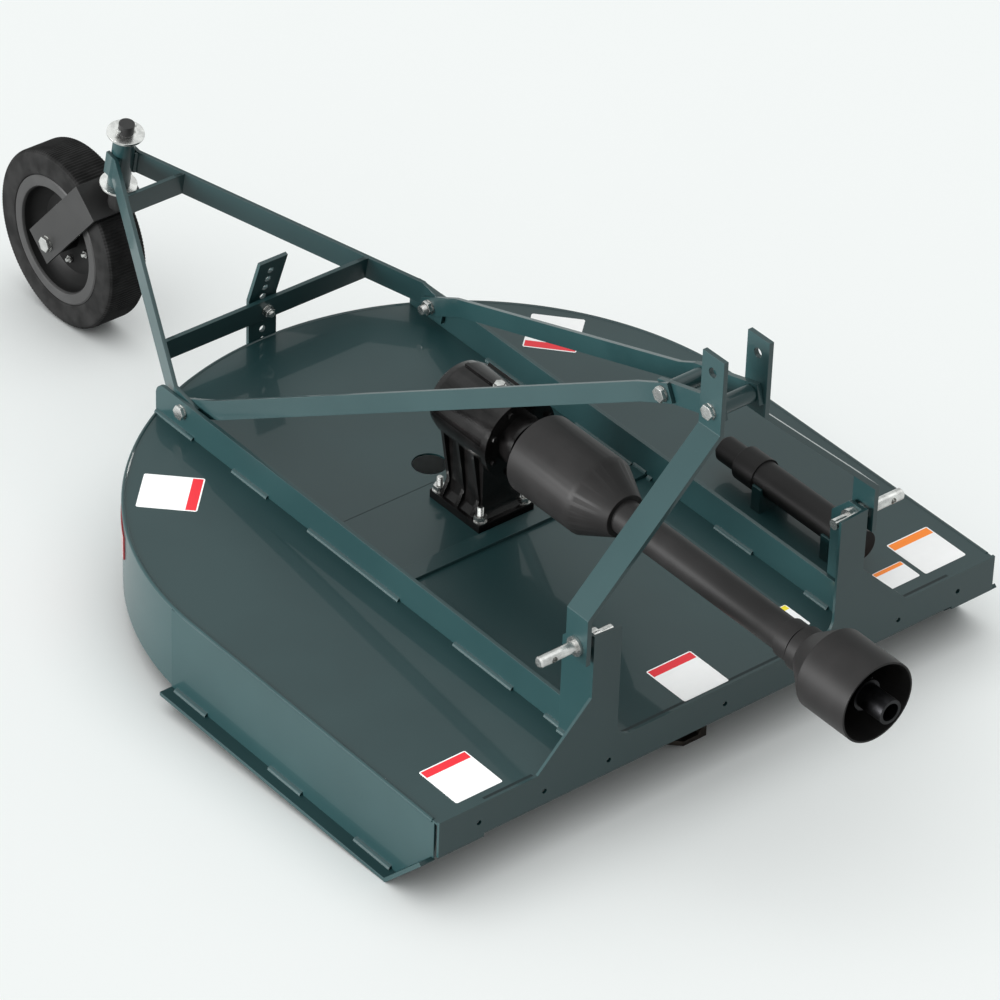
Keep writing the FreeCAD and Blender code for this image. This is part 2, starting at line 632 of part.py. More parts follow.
def hitchPins():
    for word, side in sides:
        body = newBody("hitch_pin_" + word, moved(0, -s.pinBack.value, s.pinHigh.value))
        spacerOut = uprightOuter + s.legSpace
        legOut = spacerOut + s.legThick
        tipChamfer = asSize(3)
        outline = [(0, s.pinInner), (s.pinRadius - 1, s.pinInner), (s.pinRadius - 1, railOuter - s.pinNutLong),
                   (s.pinNutRadius, railOuter - s.pinNutLong), (s.pinNutRadius, railOuter),
                   (s.pinRadius, railOuter), (s.pinRadius, uprightOuter), (s.pinNutRadius, uprightOuter),
                   (s.pinNutRadius, spacerOut - s.faceGap), (s.pinRadius, spacerOut - s.faceGap),
                   (s.pinRadius, legOut + s.faceGap), (s.collarRadius, legOut + s.faceGap),
                   (s.collarRadius, s.pinShoulder), (s.pinRadius, s.pinShoulder),
                   (s.pinRadius, s.pinTip - tipChamfer), (s.pinRadius - tipChamfer, s.pinTip), (0, s.pinTip)]
        outline = [(side * place, radius) for radius, place in outline]
        turn(body, "XZ", [outline], "H_Axis")
        cut(body, "XZ", s.pinRadius * 2, s.pinRadius * 4, [(side * s.lynchPlace, 0, s.lynchRadius)])


def bentBar(corners, thick, side):
    # Outline of a flat bar that runs straight, leans to the middle and runs straight again,
    # from four (place, across) corners of its outer face
    lean = halfAngleTan(corners[1][1] - corners[2][1], corners[2][0] - corners[1][0])
    outer = [(side * across, place) for place, across in corners]
    inner = []
    for number, (place, across) in enumerate(corners):
        shift = thick * lean if number in (1, 2) else 0
        inner.append((side * (across - thick), place - shift))
    return outer + inner[::-1]


mastOuter = s.mastInner + s.legThick
legOuter = uprightOuter + s.legSpace + s.legThick
linkOuter = s.mastInner - s.faceGap
linkInner = linkOuter - s.linkThick
braceFrontOuter = linkOuter + s.faceGap + s.braceThick
armOuter = railInner - s.faceGap
armInner = armOuter - s.tailThick
braceRearOuter = armInner - s.faceGap
braceRearInner = braceRearOuter - s.braceThick


def mast():
    for word, side in sides:
        body = newBody("mast_leg_" + word)
        path = [(s.pinHigh - s.legFoot, legOuter), (s.legBendLow, legOuter), (s.legTop - s.legUpright, mastOuter),
                (s.legTop, mastOuter)]
        outline = bentBar(path, s.legThick, side)
        pad(body, "XZ", s.pinBack - s.legWide / 2, s.legWide, [outline])
        reach = legOuter + s.legThick
        start = reach if side > 0 else 0
        cut(body, "YZ", start, reach, [(-s.pinBack, s.pinHigh, s.pinRadius + s.pivotGap),
                                       (-s.pinBack, mastBoltHigh, s.boltRadius),
                                       (-s.pinBack, topHoleHigh, s.topHoleRadius)])
    boltWithSpacer("mast_bolt", -s.pinBack.value, mastBoltHigh.value, mastOuter, linkInner - s.faceGap)
    boltWithSpacer("link_bolt", -linkBoltBack.value, linkBoltHigh.value,
                   braceFrontOuter + s.faceGap, linkInner)


def boltWithSpacer(label, y, z, gripOuter, spacerEnd):
    # Hex bolt and nut through both sides with a spacer tube between the links
    body = newBody(label, moved(0, y, z))
    headRadius = s.boltRadius * 1.6
    headLong = asSize(12)
    outline = [(-(gripOuter + headLong), 0), (-(gripOuter + headLong), headRadius), (-gripOuter, headRadius),
               (-gripOuter, s.boltRadius), (-spacerEnd, s.boltRadius), (-spacerEnd, s.spacerRadius),
               (spacerEnd, s.spacerRadius), (spacerEnd, s.boltRadius), (gripOuter, s.boltRadius),
               (gripOuter, headRadius), (gripOuter + headLong, headRadius), (gripOuter + headLong, 0)]
    turn(body, "XZ", [outline], "H_Axis")


def links():
    rise = mastBoltHigh - linkBoltHigh
    run = linkBoltBack - s.pinBack
    long = hypotenuse(rise, run)
    tilt = math.degrees(math.atan2(rise.value, run.value))
    endRadius = s.linkWide / 2
    for word, side in sides:
        body = newBody("link_" + word, moved(0, -linkBoltBack.value, linkBoltHigh.value, tilt))
        start = linkInner if side > 0 else -linkOuter
        outline = [(-endRadius, -endRadius), (long + endRadius, -endRadius), (long + endRadius, endRadius),
                   (-endRadius, endRadius)]
        pad(body, "YZ", start, s.linkThick,
            [outline, (0, 0, s.boltRadius + s.pivotGap), (long, 0, s.boltRadius + s.pivotGap)])


def braces():
    rise = linkBoltHigh - s.lugHigh
    run = lugBack - linkBoltBack
    long = hypotenuse(rise, run)
    tilt = math.degrees(math.atan2(rise.value, run.value))
    for word, side in sides:
        body = newBody("brace_" + word, moved(0, -lugBack.value, s.lugHigh.value, tilt))
        path = [(-s.braceTail, braceRearOuter), (s.braceBendRear, braceRearOuter),
                (long - s.braceBendFront, braceFrontOuter), (long + s.braceNose, braceFrontOuter)]
        outline = bentBar(path, s.braceThick, side)
        pad(body, "XY", -s.braceWide / 2, s.braceWide, [outline])
        start = braceRearOuter + 5 if side > 0 else -(braceRearInner - 5)
        cut(body, "YZ", start, s.braceThick + 10, [(0, 0, s.boltRadius + s.pivotGap)])
        start = braceFrontOuter + 5 if side > 0 else -(linkOuter - 5)
        cut(body, "YZ", start, s.braceThick + 10, [(long, 0, s.boltRadius + s.openPivotGap)])


def lugBolts():
    for word, side in sides:
        body = newBody("lug_bolt_" + word, moved(0, -lugBack.value, s.lugHigh.value))
        headRadius = s.boltRadius * 1.6
        inner = braceRearInner - s.faceGap
        outline = [(inner - 12, 0), (inner - 12, headRadius), (inner, headRadius), (inner, s.boltRadius),
                   (railOuter, s.boltRadius), (railOuter, headRadius), (railOuter + 11, headRadius),
                   (railOuter + 11, 0)]
        turn(body, "XZ", [[(side * x, r) for x, r in outline]], "H_Axis")


tailPlace = moved(0, -lugBack.value, s.lugHigh.value, -s.tailTilt.value)
# The front cross bar's corners pass just in front of the height strap as the tail swings
strapFace = s.deckLong + s.seatGap
crossOne = otherLeg(strapFace - s.strapSlip - lugBack, s.tailWide / 2) - s.tailThick


def tailFrame():
    # Drawn level with the lug bolt as origin, then tilted about it
    gripOuter = s.tubeRadius + s.tailThick
    for word, side in sides:
        body = newBody("tail_bar_" + word, tailPlace)
        path = [(-s.tailNose, armOuter), (s.tailBendFront, armOuter), (s.tubeBack - s.tailGrip, gripOuter),
                (s.tubeBack + s.tailGrip, gripOuter)]
        outline = [(across, -back) for across, back in bentBar(path, s.tailThick, side)]
        pad(body, "XY", -s.tailWide / 2, s.tailWide, [outline])
        start = armOuter + 5 if side > 0 else -(armInner - 5)
        cut(body, "YZ", start, s.tailThick + 10, [(0, 0, s.boltRadius + s.pivotGap)])
    slope = (armOuter - gripOuter) / (s.tubeBack - s.tailGrip - s.tailBendFront)
    inset = s.tailThick * hypotenuse(slope, asSize(1))
    for word, back in (("front", crossOne), ("rear", s.crossTwo)):
        body = newBody("tail_cross_" + word, tailPlace)
        frontX = armOuter - slope * (back - s.tailBendFront) - inset
        rearX = frontX - slope * s.tailThick
        outline = [(-frontX, -back), (-rearX, -(back + s.tailThick)), (rearX, -(back + s.tailThick)),
                   (frontX, -back)]
        pad(body, "XY", -s.tailWide / 2, s.tailWide, [outline])
        if word == "front":
            cut(body, "XZ", back + s.tailThick * 2, s.tailThick * 3, [(0, 0, s.strapHoleRadius)])
    body = newBody("caster_tube", tailPlace)
    pad(body, "XY", -s.tubeLow, s.tubeLong, [(0, -s.tubeBack, s.tubeRadius),
                                            (0, -s.tubeBack, s.spindleRadius + s.pivotGap)])


wheelPlace = moved(0, -wheelBack.value, s.wheelHigh.value)


def caster():
    # Drawn with the wheel axis as origin and the fork arms upright, then tilted forward
    body = newBody("caster_fork", wheelPlace.multiply(moved(0, 0, 0, -s.forkTilt.value)))
    inner = s.forkInner / 2
    outer = inner + s.forkThick
    under = s.wheelRadius + s.forkClear
    over = under + s.forkThick
    front = s.forkWide / 2 - s.forkShift
    outline = [(-outer, -s.forkTail), (-outer, over), (outer, over), (outer, -s.forkTail),
               (inner, -s.forkTail), (inner, under), (-inner, under), (-inner, -s.forkTail)]
    pad(body, "XZ", -front, s.forkWide, [outline])
    cut(body, "YZ", outer + 5, outer * 2 + 10, [(0, 0, s.axleRadius)])
    # The spindle stands in the caster tube, so its place comes from the tail frame
    dropY = wheelBack - lugBack - s.tubeBack * cosine(s.tailTilt)
    riseZ = s.lugHigh + s.tubeBack * sine(s.tailTilt) - s.wheelHigh
    tilt = (dropY * cosine(s.forkTilt) - riseZ * sine(s.forkTilt),
            dropY * sine(s.forkTilt) + riseZ * cosine(s.forkTilt), s.forkTilt - s.tailTilt)
    washerTop = s.tubeLong - s.tubeLow + s.pivotGap
    washerLow = -(s.tubeLow + s.pivotGap + s.washerThick)
    spindleLow = (under - tilt[1]) / cosine(tilt[2])
    spindleTop = washerTop + s.washerThick + s.spindleTop
    pad(body, "XY", spindleLow, spindleTop - spindleLow, [(0, 0, s.spindleRadius)], tilt)
    for low in (washerLow, washerTop):
        pad(body, "XY", low, s.washerThick, [(0, 0, s.washerRadius)], tilt)
    # Spindle end flush with the crown's underside
    reach = s.spindleRadius + 1
    cut(body, "XZ", s.forkWide, s.forkWide * 2, [box(-reach, reach, under - reach * 2, under)])


def axleAndWheel():
    place = wheelPlace
    body = newBody("wheel_axle", place)
    outer = s.forkInner / 2 + s.forkThick
    headRadius = s.axleRadius * 1.7
    outline = [(-(outer + 12), 0), (-(outer + 12), headRadius), (-outer, headRadius), (-outer, s.axleRadius),
               (outer, s.axleRadius), (outer, headRadius), (outer + 12, headRadius), (outer + 12, 0)]
    turn(body, "XZ", [outline], "H_Axis")
    halfWide = s.wheelWide / 2
    body = newBody("tail_tyre", place)
    shoulder = asSize(10)
    outline = [(-halfWide, s.rimRadius), (-halfWide, s.wheelRadius - shoulder), (-(halfWide - 8), s.wheelRadius),
               (halfWide - 8, s.wheelRadius), (halfWide, s.wheelRadius - shoulder), (halfWide, s.rimRadius)]
    turn(body, "XZ", [outline], "H_Axis")
    body = newBody("tail_rim", place)
    lip = asSize(6)
    disc = asSize(8)
    bore = s.axleRadius + s.pivotGap
    hubHalf = s.forkInner / 2 - 1.5
    outline = [(-halfWide, s.rimInner), (-halfWide, s.rimRadius), (halfWide, s.rimRadius), (halfWide, s.rimInner),
               (halfWide - lip, s.rimInner), (disc, s.rimRadius - 10), (disc, s.hubRadius), (hubHalf, s.hubRadius),
               (hubHalf, bore), (-hubHalf, bore), (-hubHalf, s.hubRadius), (-disc, s.hubRadius),
               (-disc, s.rimRadius - 10), (-(halfWide - lip), s.rimInner)]
    turn(body, "XZ", [outline], "H_Axis")


def driveline():
    wall = s.guardWall
    tube = s.guardTubeRadius
    body = newBody("rear_guard")
    bearing = s.shaftRadius + s.seatGap
    neckInside = -(s.rearBellNeck + wall)
    outline = [(s.bellRadius - wall, -s.rearBellOpen), (s.bellRadius, -s.rearBellOpen),
               (s.bellRadius, -s.rearBellCone), (s.neckRadius, -s.rearBellNeck), (tube, -s.rearBellNeck),
               (tube, s.guardTubeFront), (tube - wall, s.guardTubeFront), (tube - wall, neckInside + s.bearingLong),
               (bearing, neckInside + s.bearingLong), (bearing, neckInside),
               (s.neckRadius - wall, neckInside), (s.bellRadius - wall, -(s.rearBellCone + wall))]
    turnAtShaft(body, outline)
    slide = s.slideTubeRadius
    slideInside = slide - s.slideTubeWall
    bearing = s.sleeveRadius + s.seatGap
    body = newBody("front_guard")
    grooveRadius = s.ringRadius - s.ringGrooveDeep
    outline = [(slideInside, -s.slideTubeRear), (slide, -s.slideTubeRear), (slide, s.ringStart),
               (s.ringRadius, s.ringStart), (s.ringRadius, s.neckStart - s.ringGroove),
               (grooveRadius, s.neckStart - s.ringGroove), (grooveRadius, s.neckStart),
               (s.neckRadius, s.neckStart), (s.neckRadius, s.frontBellNeck), (s.bellRadius, s.frontBellCone),
               (s.bellRadius, s.frontBellOpen), (s.bellRadius - wall, s.frontBellOpen),
               (s.bellRadius - wall, s.frontBellCone + 2), (s.neckRadius - wall, s.frontBellNeck + 2),
               (bearing, s.frontBellNeck + 2), (bearing, s.frontBellNeck + 2 - s.bearingLong),
               (slideInside, s.frontBellNeck + 2 - s.bearingLong)]
    turnAtShaft(body, outline)
    gap = s.seatGap
    # Rear half: yoke on the gearbox shaft, joint cross, solid shaft
    body = newBody("rear_driveline")
    joint = -s.rearCrossPlace
    shaftFront = asSize(100)
    outline = [(0, -s.noseFront + gap), (s.yokeHubRadius, -s.noseFront + gap), (s.yokeHubRadius, joint - s.earBack),
               (s.yokeReach, joint - s.earBack), (s.yokeReach, joint - s.earBack + s.yokeFoot),
               (0, joint - s.earBack + s.yokeFoot)]
    turnAtShaft(body, outline)
    joinYokes(body, joint)
    outline = [(0, joint + s.earBack - s.yokeFoot), (s.yokeReach, joint + s.earBack - s.yokeFoot),
               (s.yokeReach, joint + s.earBack), (s.yokeHubRadius, joint + s.earBack),
               (s.yokeHubRadius, joint + s.hubBack), (s.shaftRadius, joint + s.hubBack + 4),
               (s.shaftRadius, shaftFront), (0, shaftFront)]
    turnAtShaft(body, outline)
    # Front half: hollow shaft, joint cross, tractor yoke with its bore
    body = newBody("front_driveline")
    joint = s.crossPlace
    bore = s.splineRadius
    inside = joint - s.earBack - 20
    outline = [(s.shaftRadius + gap, -s.slideTubeRear), (s.sleeveRadius, -s.slideTubeRear),
               (s.sleeveRadius, joint - s.hubBack), (s.yokeHubRadius, joint - s.hubBack + 4),
               (s.yokeHubRadius, joint - s.earBack), (s.yokeReach, joint - s.earBack),
               (s.yokeReach, joint - s.earBack + s.yokeFoot), (0, joint - s.earBack + s.yokeFoot),
               (0, inside), (s.shaftRadius + gap, inside)]
    turnAtShaft(body, outline)
    joinYokes(body, joint)
    boreStart = joint + s.earBack + 6
    outline = [(0, joint + s.earBack - s.yokeFoot), (s.yokeReach, joint + s.earBack - s.yokeFoot),
               (s.yokeReach, joint + s.earBack), (s.yokeHubRadius, joint + s.earBack),
               (s.yokeHubRadius, s.yokeEnd), (bore, s.yokeEnd), (bore, boreStart), (0, boreStart)]
    turnAtShaft(body, outline)


def joinYokes(body, joint):
    # Joint cross with the ears of the yoke behind it to both sides, those of the yoke before it up and down
    reach = s.yokeReach
    high = s.shaftHigh
    foot = s.earBack - s.yokeFoot / 2
    pad(body, "YZ", -reach, reach * 2, [(joint, high, s.crossRadius)])
    pad(body, "XY", high - reach, reach * 2, [(0, joint, s.crossRadius)])
    radius = s.earRadius
    ear = [(joint - foot, high - radius), (joint, high - radius, (joint, high), radius),
           (joint + radius, high, (joint, high), radius), (joint, high + radius), (joint - foot, high + radius)]
    for start in (-reach, reach - s.earThick):
        pad(body, "YZ", start, s.earThick, [ear])
    ear = [(-radius, joint + foot), (-radius, joint, (0, joint), radius), (0, joint - radius, (0, joint), radius),
           (radius, joint), (radius, joint + foot)]
    for start in (high - reach, high + reach - s.earThick):
        pad(body, "XY", start, s.earThick, [ear])


def blades():
    panTop = s.panHigh + s.panThick
    body = newBody("blade_carrier", moved(0, -s.gearBack.value, 0))
    outline = [(0, s.panHigh - 16), (s.outputRadius, s.panHigh - 16), (s.outputRadius, s.panHigh),
               (s.panRadius - s.panRim, s.panHigh), (s.panRadius, s.panHigh + s.panDish),
               (s.panRadius, s.panHigh + s.panDish + s.panThick), (s.panRadius - s.panRim - 2, panTop),
               (s.outputRadius + 14, panTop), (s.outputRadius, panTop + 40), (s.outputRadius, deckUnder + 6),
               (0, deckUnder + 6)]
    turn(body, "XZ", [outline])
    cut(body, "XY", panTop + 5, s.panThick + 30,
        [(0, side * s.bladePivot, s.bladeBoltRadius + s.seatGap) for side in (1, -1)])
    for number, side in ((1, 1), (2, -1)):
        spin = FreeCAD.Rotation(FreeCAD.Vector(0, 0, 1), 0 if side > 0 else 180)
        place = FreeCAD.Placement(FreeCAD.Vector(0, -s.gearBack.value + side * s.bladePivot.value, 0), spin)
        body = newBody("blade_bolt_%d" % number, place)
        top = s.panHigh - s.bladeGap
        low = top - s.bladeThick
        outline = [(0, low - 8), (s.bladeBoltRadius + 8, low - 8), (s.bladeBoltRadius + 8, low - 1),
                   (s.bladeBoltRadius, low - 1), (s.bladeBoltRadius, panTop), (s.bladeBoltRadius + 5, panTop),
                   (s.bladeBoltRadius + 5, panTop + 16), (0, panTop + 16)]
        turn(body, "XZ", [outline])
        body = newBody("blade_%d" % number, place)
        long = s.bladeReach - s.bladePivot
        halfWide = s.bladeWide / 2
        outer = low - s.bladeDrop
        outline = [(-s.bladeHeel, low), (s.crankStart, low), (s.crankEnd, outer), (long, outer),
                   (long, outer + s.bladeThick), (s.crankEnd, outer + s.bladeThick),
                   (s.crankStart, low + s.bladeThick), (-s.bladeHeel, low + s.bladeThick)]
        pad(body, "YZ", -halfWide, s.bladeWide, [outline])
        # Trailing edge turned up near the tip
        root = outer + s.bladeThick / 2
        lift = [(-halfWide, root), (-halfWide, outer + s.liftHigh), (-halfWide + s.liftThick, outer + s.liftHigh),
                (-halfWide + s.liftThick * 2, outer + s.bladeThick), (-halfWide + s.liftThick * 2, root)]
        pad(body, "XZ", -long, s.liftLong, [lift])
        corner = [(halfWide - s.tipCut, long + s.tipCut), (halfWide - s.tipCut, long), (halfWide, long - s.tipCut),
                  (halfWide + s.tipCut, long - s.tipCut), (halfWide + s.tipCut, long + s.tipCut)]
        cut(body, "XY", low + s.bladeThick * 2, s.bladeDrop + s.bladeThick * 3,
            [corner, (0, 0, s.bladeBoltRadius + s.pivotGap)])


def documentTube():
    body = newBody("document_tube", moved(-s.canPlace.value, 0, s.canHigh.value))
    capFront = s.canRear - 120
    outline = [(0, -s.canRear), (s.capStubRadius - 8, -s.canRear), (s.capStubRadius, -(s.canRear - 10)),
               (s.capStubRadius, -(s.canRear - 62)), (s.capRadius, -(s.canRear - 66)), (s.capRadius, -capFront),
               (s.canRadius, -capFront), (s.canRadius, -s.canFront), (0, -s.canFront)]
    turn(body, "XY", [outline])
    for number, back in ((1, s.canRear - 150), (2, s.canFront + 50)):
        body = newBody("tube_bracket_%d" % number, moved(-s.canPlace.value, 0, 0))
        wide = s.canRadius + 6
        # Saddle that holds the lower half of the tube
        seat = s.canRadius + s.seatGap
        outline = [(-wide, s.deckTop), (wide, s.deckTop), (wide, s.canHigh), (seat, s.canHigh, (0, s.canHigh), seat),
                   (0, s.canHigh - seat, (0, s.canHigh), seat), (-seat, s.canHigh), (-wide, s.canHigh)]
        pad(body, "XZ", back, 24, [outline])


deckPlate()
frontPlate()
skirts()
skids()
rails()
heightStrap()
gearbox()
hitchPins()
mast()
links()
braces()
lugBolts()
tailFrame()
caster()
axleAndWheel()
driveline()
blades()
documentTube()

# Nose-down angle at which the skid tips and the tail wheel share one floor
run = wheelBack.value - s.skirtCutBack.value
lean = math.asin(s.wheelRadius.value / math.hypot(run, s.wheelHigh.value)) - math.atan2(s.wheelHigh.value, run)
stand = moved(0, 0, 0, -math.degrees(lean))
bounds = FreeCAD.BoundBox()
for body, place in made:
    shape = body.Shape.copy()
    shape.Placement = stand.multiply(place)
    bounds.add(shape.optimalBoundingBox(False))
shift = FreeCAD.Placement(FreeCAD.Vector(0, -(bounds.YMin + bounds.YMax) / 2, -bounds.ZMin), FreeCAD.Rotation())
world = shift.multiply(stand)
for body, place in made:
    body.Placement = world.multiply(place)
doc.recompute()

for item in doc.Objects:
    if any(word in ("Invalid", "Error") for word in item.State):
        raise RuntimeError("%s is not in order: %s" % (item.Name, item.State))
for body, place in made:
    shape = body.Shape
    if shape.isNull() or not shape.isValid():
        raise RuntimeError("%s has no valid solid" % body.Label)
    shape.exportStep("parts/%s.step" % body.Label)
print("stands %.3f degrees nose down, %d sub-parts" % (math.degrees(lean), len(made)))
print("frame shift", shift.Base.y, shift.Base.z)
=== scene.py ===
import bmesh
import bpy
import json
import math
from mathutils import Matrix, Vector

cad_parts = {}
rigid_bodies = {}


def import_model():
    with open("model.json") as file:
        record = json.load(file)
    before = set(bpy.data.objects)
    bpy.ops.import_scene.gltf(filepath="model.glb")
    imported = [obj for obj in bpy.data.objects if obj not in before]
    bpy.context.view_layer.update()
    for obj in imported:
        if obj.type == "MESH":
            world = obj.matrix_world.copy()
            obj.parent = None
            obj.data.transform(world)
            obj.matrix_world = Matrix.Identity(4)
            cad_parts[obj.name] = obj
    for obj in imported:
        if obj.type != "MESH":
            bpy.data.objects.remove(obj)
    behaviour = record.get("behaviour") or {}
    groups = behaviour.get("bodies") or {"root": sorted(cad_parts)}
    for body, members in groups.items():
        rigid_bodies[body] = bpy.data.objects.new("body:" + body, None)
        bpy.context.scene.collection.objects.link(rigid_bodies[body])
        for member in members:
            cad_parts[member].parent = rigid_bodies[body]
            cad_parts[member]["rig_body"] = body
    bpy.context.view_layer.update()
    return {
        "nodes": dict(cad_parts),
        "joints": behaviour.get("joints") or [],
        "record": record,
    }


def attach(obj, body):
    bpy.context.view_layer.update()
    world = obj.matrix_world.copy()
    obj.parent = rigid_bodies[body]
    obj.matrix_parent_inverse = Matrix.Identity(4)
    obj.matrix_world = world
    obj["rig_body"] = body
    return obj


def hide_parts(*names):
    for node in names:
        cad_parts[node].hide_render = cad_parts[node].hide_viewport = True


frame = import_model()

# The machine's own axes: X to the right, Y to the tractor, Z up from the skid soles, in metres.
# The joints of blade and driveline give them, because the machine stands nose down
machine = {"gearBack": 0.695, "shaftHigh": 0.392, "deckTop": 0.188, "half": 0.650, "arcBack": 0.718,
           "sheetThick": 0.006, "skidTop": 0.008, "railInner": 0.300, "railOuter": 0.308,
           "uprightOuter": 0.316, "lugBack": 1.210, "lugHigh": 0.232, "tailTilt": 11.2, "tubeBack": 0.628,
           "wheelBack": 1.993, "wheelHigh": 0.097}
joints = {joint["name"]: joint for joint in frame["joints"]}
upward = Vector(joints["blade_spin"]["axis"])
forward = Vector(joints["rear_shaft_spin"]["axis"])
standing = Matrix((forward.cross(upward), forward, upward)).transposed().to_4x4()
standing.translation = Vector(joints["blade_spin"]["pos_m"]) + forward * machine["gearBack"]
print("frame loaded, machine axes found")


def place(x=0, y=0, z=0, turn=0, axis="X"):
    # A place in the machine's axes, turned about one of them in degrees
    return Matrix.Translation((x, y, z)) @ Matrix.Rotation(math.radians(turn), 4, axis)


sideways = place(turn=90, axis="Y")
tailPlace = place(0, -machine["lugBack"], machine["lugHigh"], -machine["tailTilt"])
tubePlace = tailPlace @ place(0, -machine["tubeBack"])
wheelPlace = place(0, -machine["wheelBack"], machine["wheelHigh"])
shaftPlace = place(0, 0, machine["shaftHigh"], -90)


class Value:
    # A number from a node, for shader maths written as an expression
    def __init__(self, shader, socket):
        self.shader = shader
        self.socket = socket

    def joined(self, operation, first, second):
        made = self.shader.node("ShaderNodeMath", {"operation": operation}, {0: first, 1: second})
        return Value(self.shader, made.outputs[0])

    def __add__(self, other):
        return self.joined("ADD", self, other)

    def __rsub__(self, other):
        return self.joined("SUBTRACT", other, self)

    def __mul__(self, other):
        return self.joined("MULTIPLY", self, other)

    def around(self, middle, span):
        # Spreads the number over a span about a middle
        return self * span + (middle - span / 2)


class Shader:
    # One material's nodes
    def __init__(self, name):
        self.material = bpy.data.materials.new(name)
        self.material.use_nodes = True
        self.material.node_tree.nodes.clear()
        self.place = self.node("ShaderNodeTexCoord").outputs["Object"]

    def node(self, kind, settings=None, sockets=None):
        made = self.material.node_tree.nodes.new(kind)
        for name, value in (settings or {}).items():
            setattr(made, name, value)
        for name, value in (sockets or {}).items():
            value = value.socket if isinstance(value, Value) else value
            if isinstance(value, bpy.types.NodeSocket):
                self.material.node_tree.links.new(value, made.inputs[name])
            else:
                made.inputs[name].default_value = value
        return made

    def noise(self, scale, detail, stretch=(1, 1, 1)):
        spread = self.node("ShaderNodeMapping", {}, {"Vector": self.place, "Scale": stretch})
        made = self.node("ShaderNodeTexNoise", {}, {"Vector": spread.outputs[0], "Scale": scale,
                                                    "Detail": detail})
        return Value(self, made.outputs["Fac"])

    def step(self, value, start, end):
        made = self.node("ShaderNodeMapRange", {"interpolation_type": "SMOOTHSTEP"},
                         {"Value": value, "From Min": start, "From Max": end})
        return Value(self, made.outputs[0])

    def blend(self, share, first, second):
        made = self.node("ShaderNodeMix", {"data_type": "RGBA"}, {0: share, 6: first, 7: second})
        return made.outputs[2]

    def tones(self, cloud, deep, pale, start=0.35, end=0.65):
        return self.blend(self.step(cloud, start, end), deep, pale)

    def finish(self, sockets, bump=None, bumpDepth=None):
        if bump is not None:
            raised = self.node("ShaderNodeBump", {}, {"Height": bump, "Distance": bumpDepth, "Strength": 1.0})
            sockets["Normal"] = raised.outputs[0]
        surface = self.node("ShaderNodeBsdfPrincipled", {}, sockets)
        self.node("ShaderNodeOutputMaterial", {}, {"Surface": surface.outputs[0]})
        return self.material


def opaque(red, green, blue):
    return (red, green, blue, 1)


# Finishes, one dictionary of adjustable values each. Noises are named by scale, depths are in metres
paintLook = {"deep": opaque(0.0060, 0.026, 0.028), "pale": opaque(0.0085, 0.031, 0.033), "cloud": 3.5,
             "rough": 0.42, "roughSpan": 0.05, "roughCloud": 9, "coat": 0.34, "coatRough": 0.05,
             "specular": 0.27, "peel": 260, "peelDepth": 0.00001}
reflectorLook = {**paintLook, "deep": opaque(0.16, 0.002, 0.004), "pale": opaque(0.24, 0.003, 0.008),
                 "rough": 0.25, "coat": 1.0, "specular": 0.5}
plasticLook = {"scuff": 14, "scuffFrom": 0.4, "scuffTo": 0.7, "paler": 1.25, "roughSpan": 0.08,
               "speck": 900, "speckDepth": 0.00003}
# Base colour, roughness and specular of each black plastic and black paint, and of the painted shade for the
# deck's seams and gaps
blacks = {"guard": (opaque(0.011, 0.0106, 0.0106), 0.46, 0.13),
          "tube": (opaque(0.008, 0.0077, 0.0077), 0.48, 0.12),
          "fork": (opaque(0.013, 0.013, 0.013), 0.40, 0.28),
          # rim and lip are one black paint: the disc deepened as painted shade of its well, the lip paler as
          # painted light
          "rim": (opaque(0.004, 0.004, 0.004), 0.50, 0.10),
          "lip": (opaque(0.026, 0.026, 0.026), 0.46, 0.20),
          # seam is painted shade, the dark of a seam or gap lying in shade
          "seam": (opaque(0.002, 0.009, 0.010), 0.60, 0.30)}
metalLook = {"cloud": 45, "streak": 120, "stretch": (1, 1, 6), "roughSpan": 0.12, "streakDepth": 0.00003}
# Deep tone, pale tone and roughness of each bare metal
metals = {"zinc": (opaque(0.44, 0.44, 0.43), opaque(0.64, 0.64, 0.625), 0.26),
          "shaft": (opaque(0.014, 0.014, 0.015), opaque(0.028, 0.028, 0.030), 0.42),
          "blade": (opaque(0.030, 0.026, 0.023), opaque(0.065, 0.056, 0.048), 0.52)}
castLook = {"deep": opaque(0.0025, 0.0023, 0.0023), "pale": opaque(0.006, 0.0056, 0.0056), "cloud": 20,
            "rough": 0.20, "roughSpan": 0.10, "specular": 0.15, "coat": 0.15, "coatRough": 0.08,
            "grain": 420, "grainDepth": 0.00016}
rubberLook = {"deep": opaque(0.005, 0.005, 0.005), "pale": opaque(0.013, 0.013, 0.013), "cloud": 30,
              "rough": 0.66, "roughSpan": 0.1, "specular": 0.08, "pores": 1100, "poreDepth": 0.00004}
stickerLook = {"white": opaque(0.87, 0.885, 0.88), "whiter": opaque(0.91, 0.925, 0.92), "film": 60,
               "rough": 0.35, "roughSpan": 0.1, "filmDepth": 0.00002,
               "border": 0.022, "bandStart": 0.80, "bandEnd": 0.978, "soft": 0.004}


def paintFinish(name, look):
    shader = Shader(name)
    cloud = shader.noise(look["cloud"], detail=3)
    peel = shader.noise(look["peel"], detail=2)
    rough = shader.noise(look["roughCloud"], detail=4).around(look["rough"], look["roughSpan"])
    return shader.finish({"Base Color": shader.tones(cloud, look["deep"], look["pale"]), "Roughness": rough,
                          "Coat Weight": look["coat"], "Coat Roughness": look["coatRough"],
                          "Specular IOR Level": look["specular"]}, peel, look["peelDepth"])


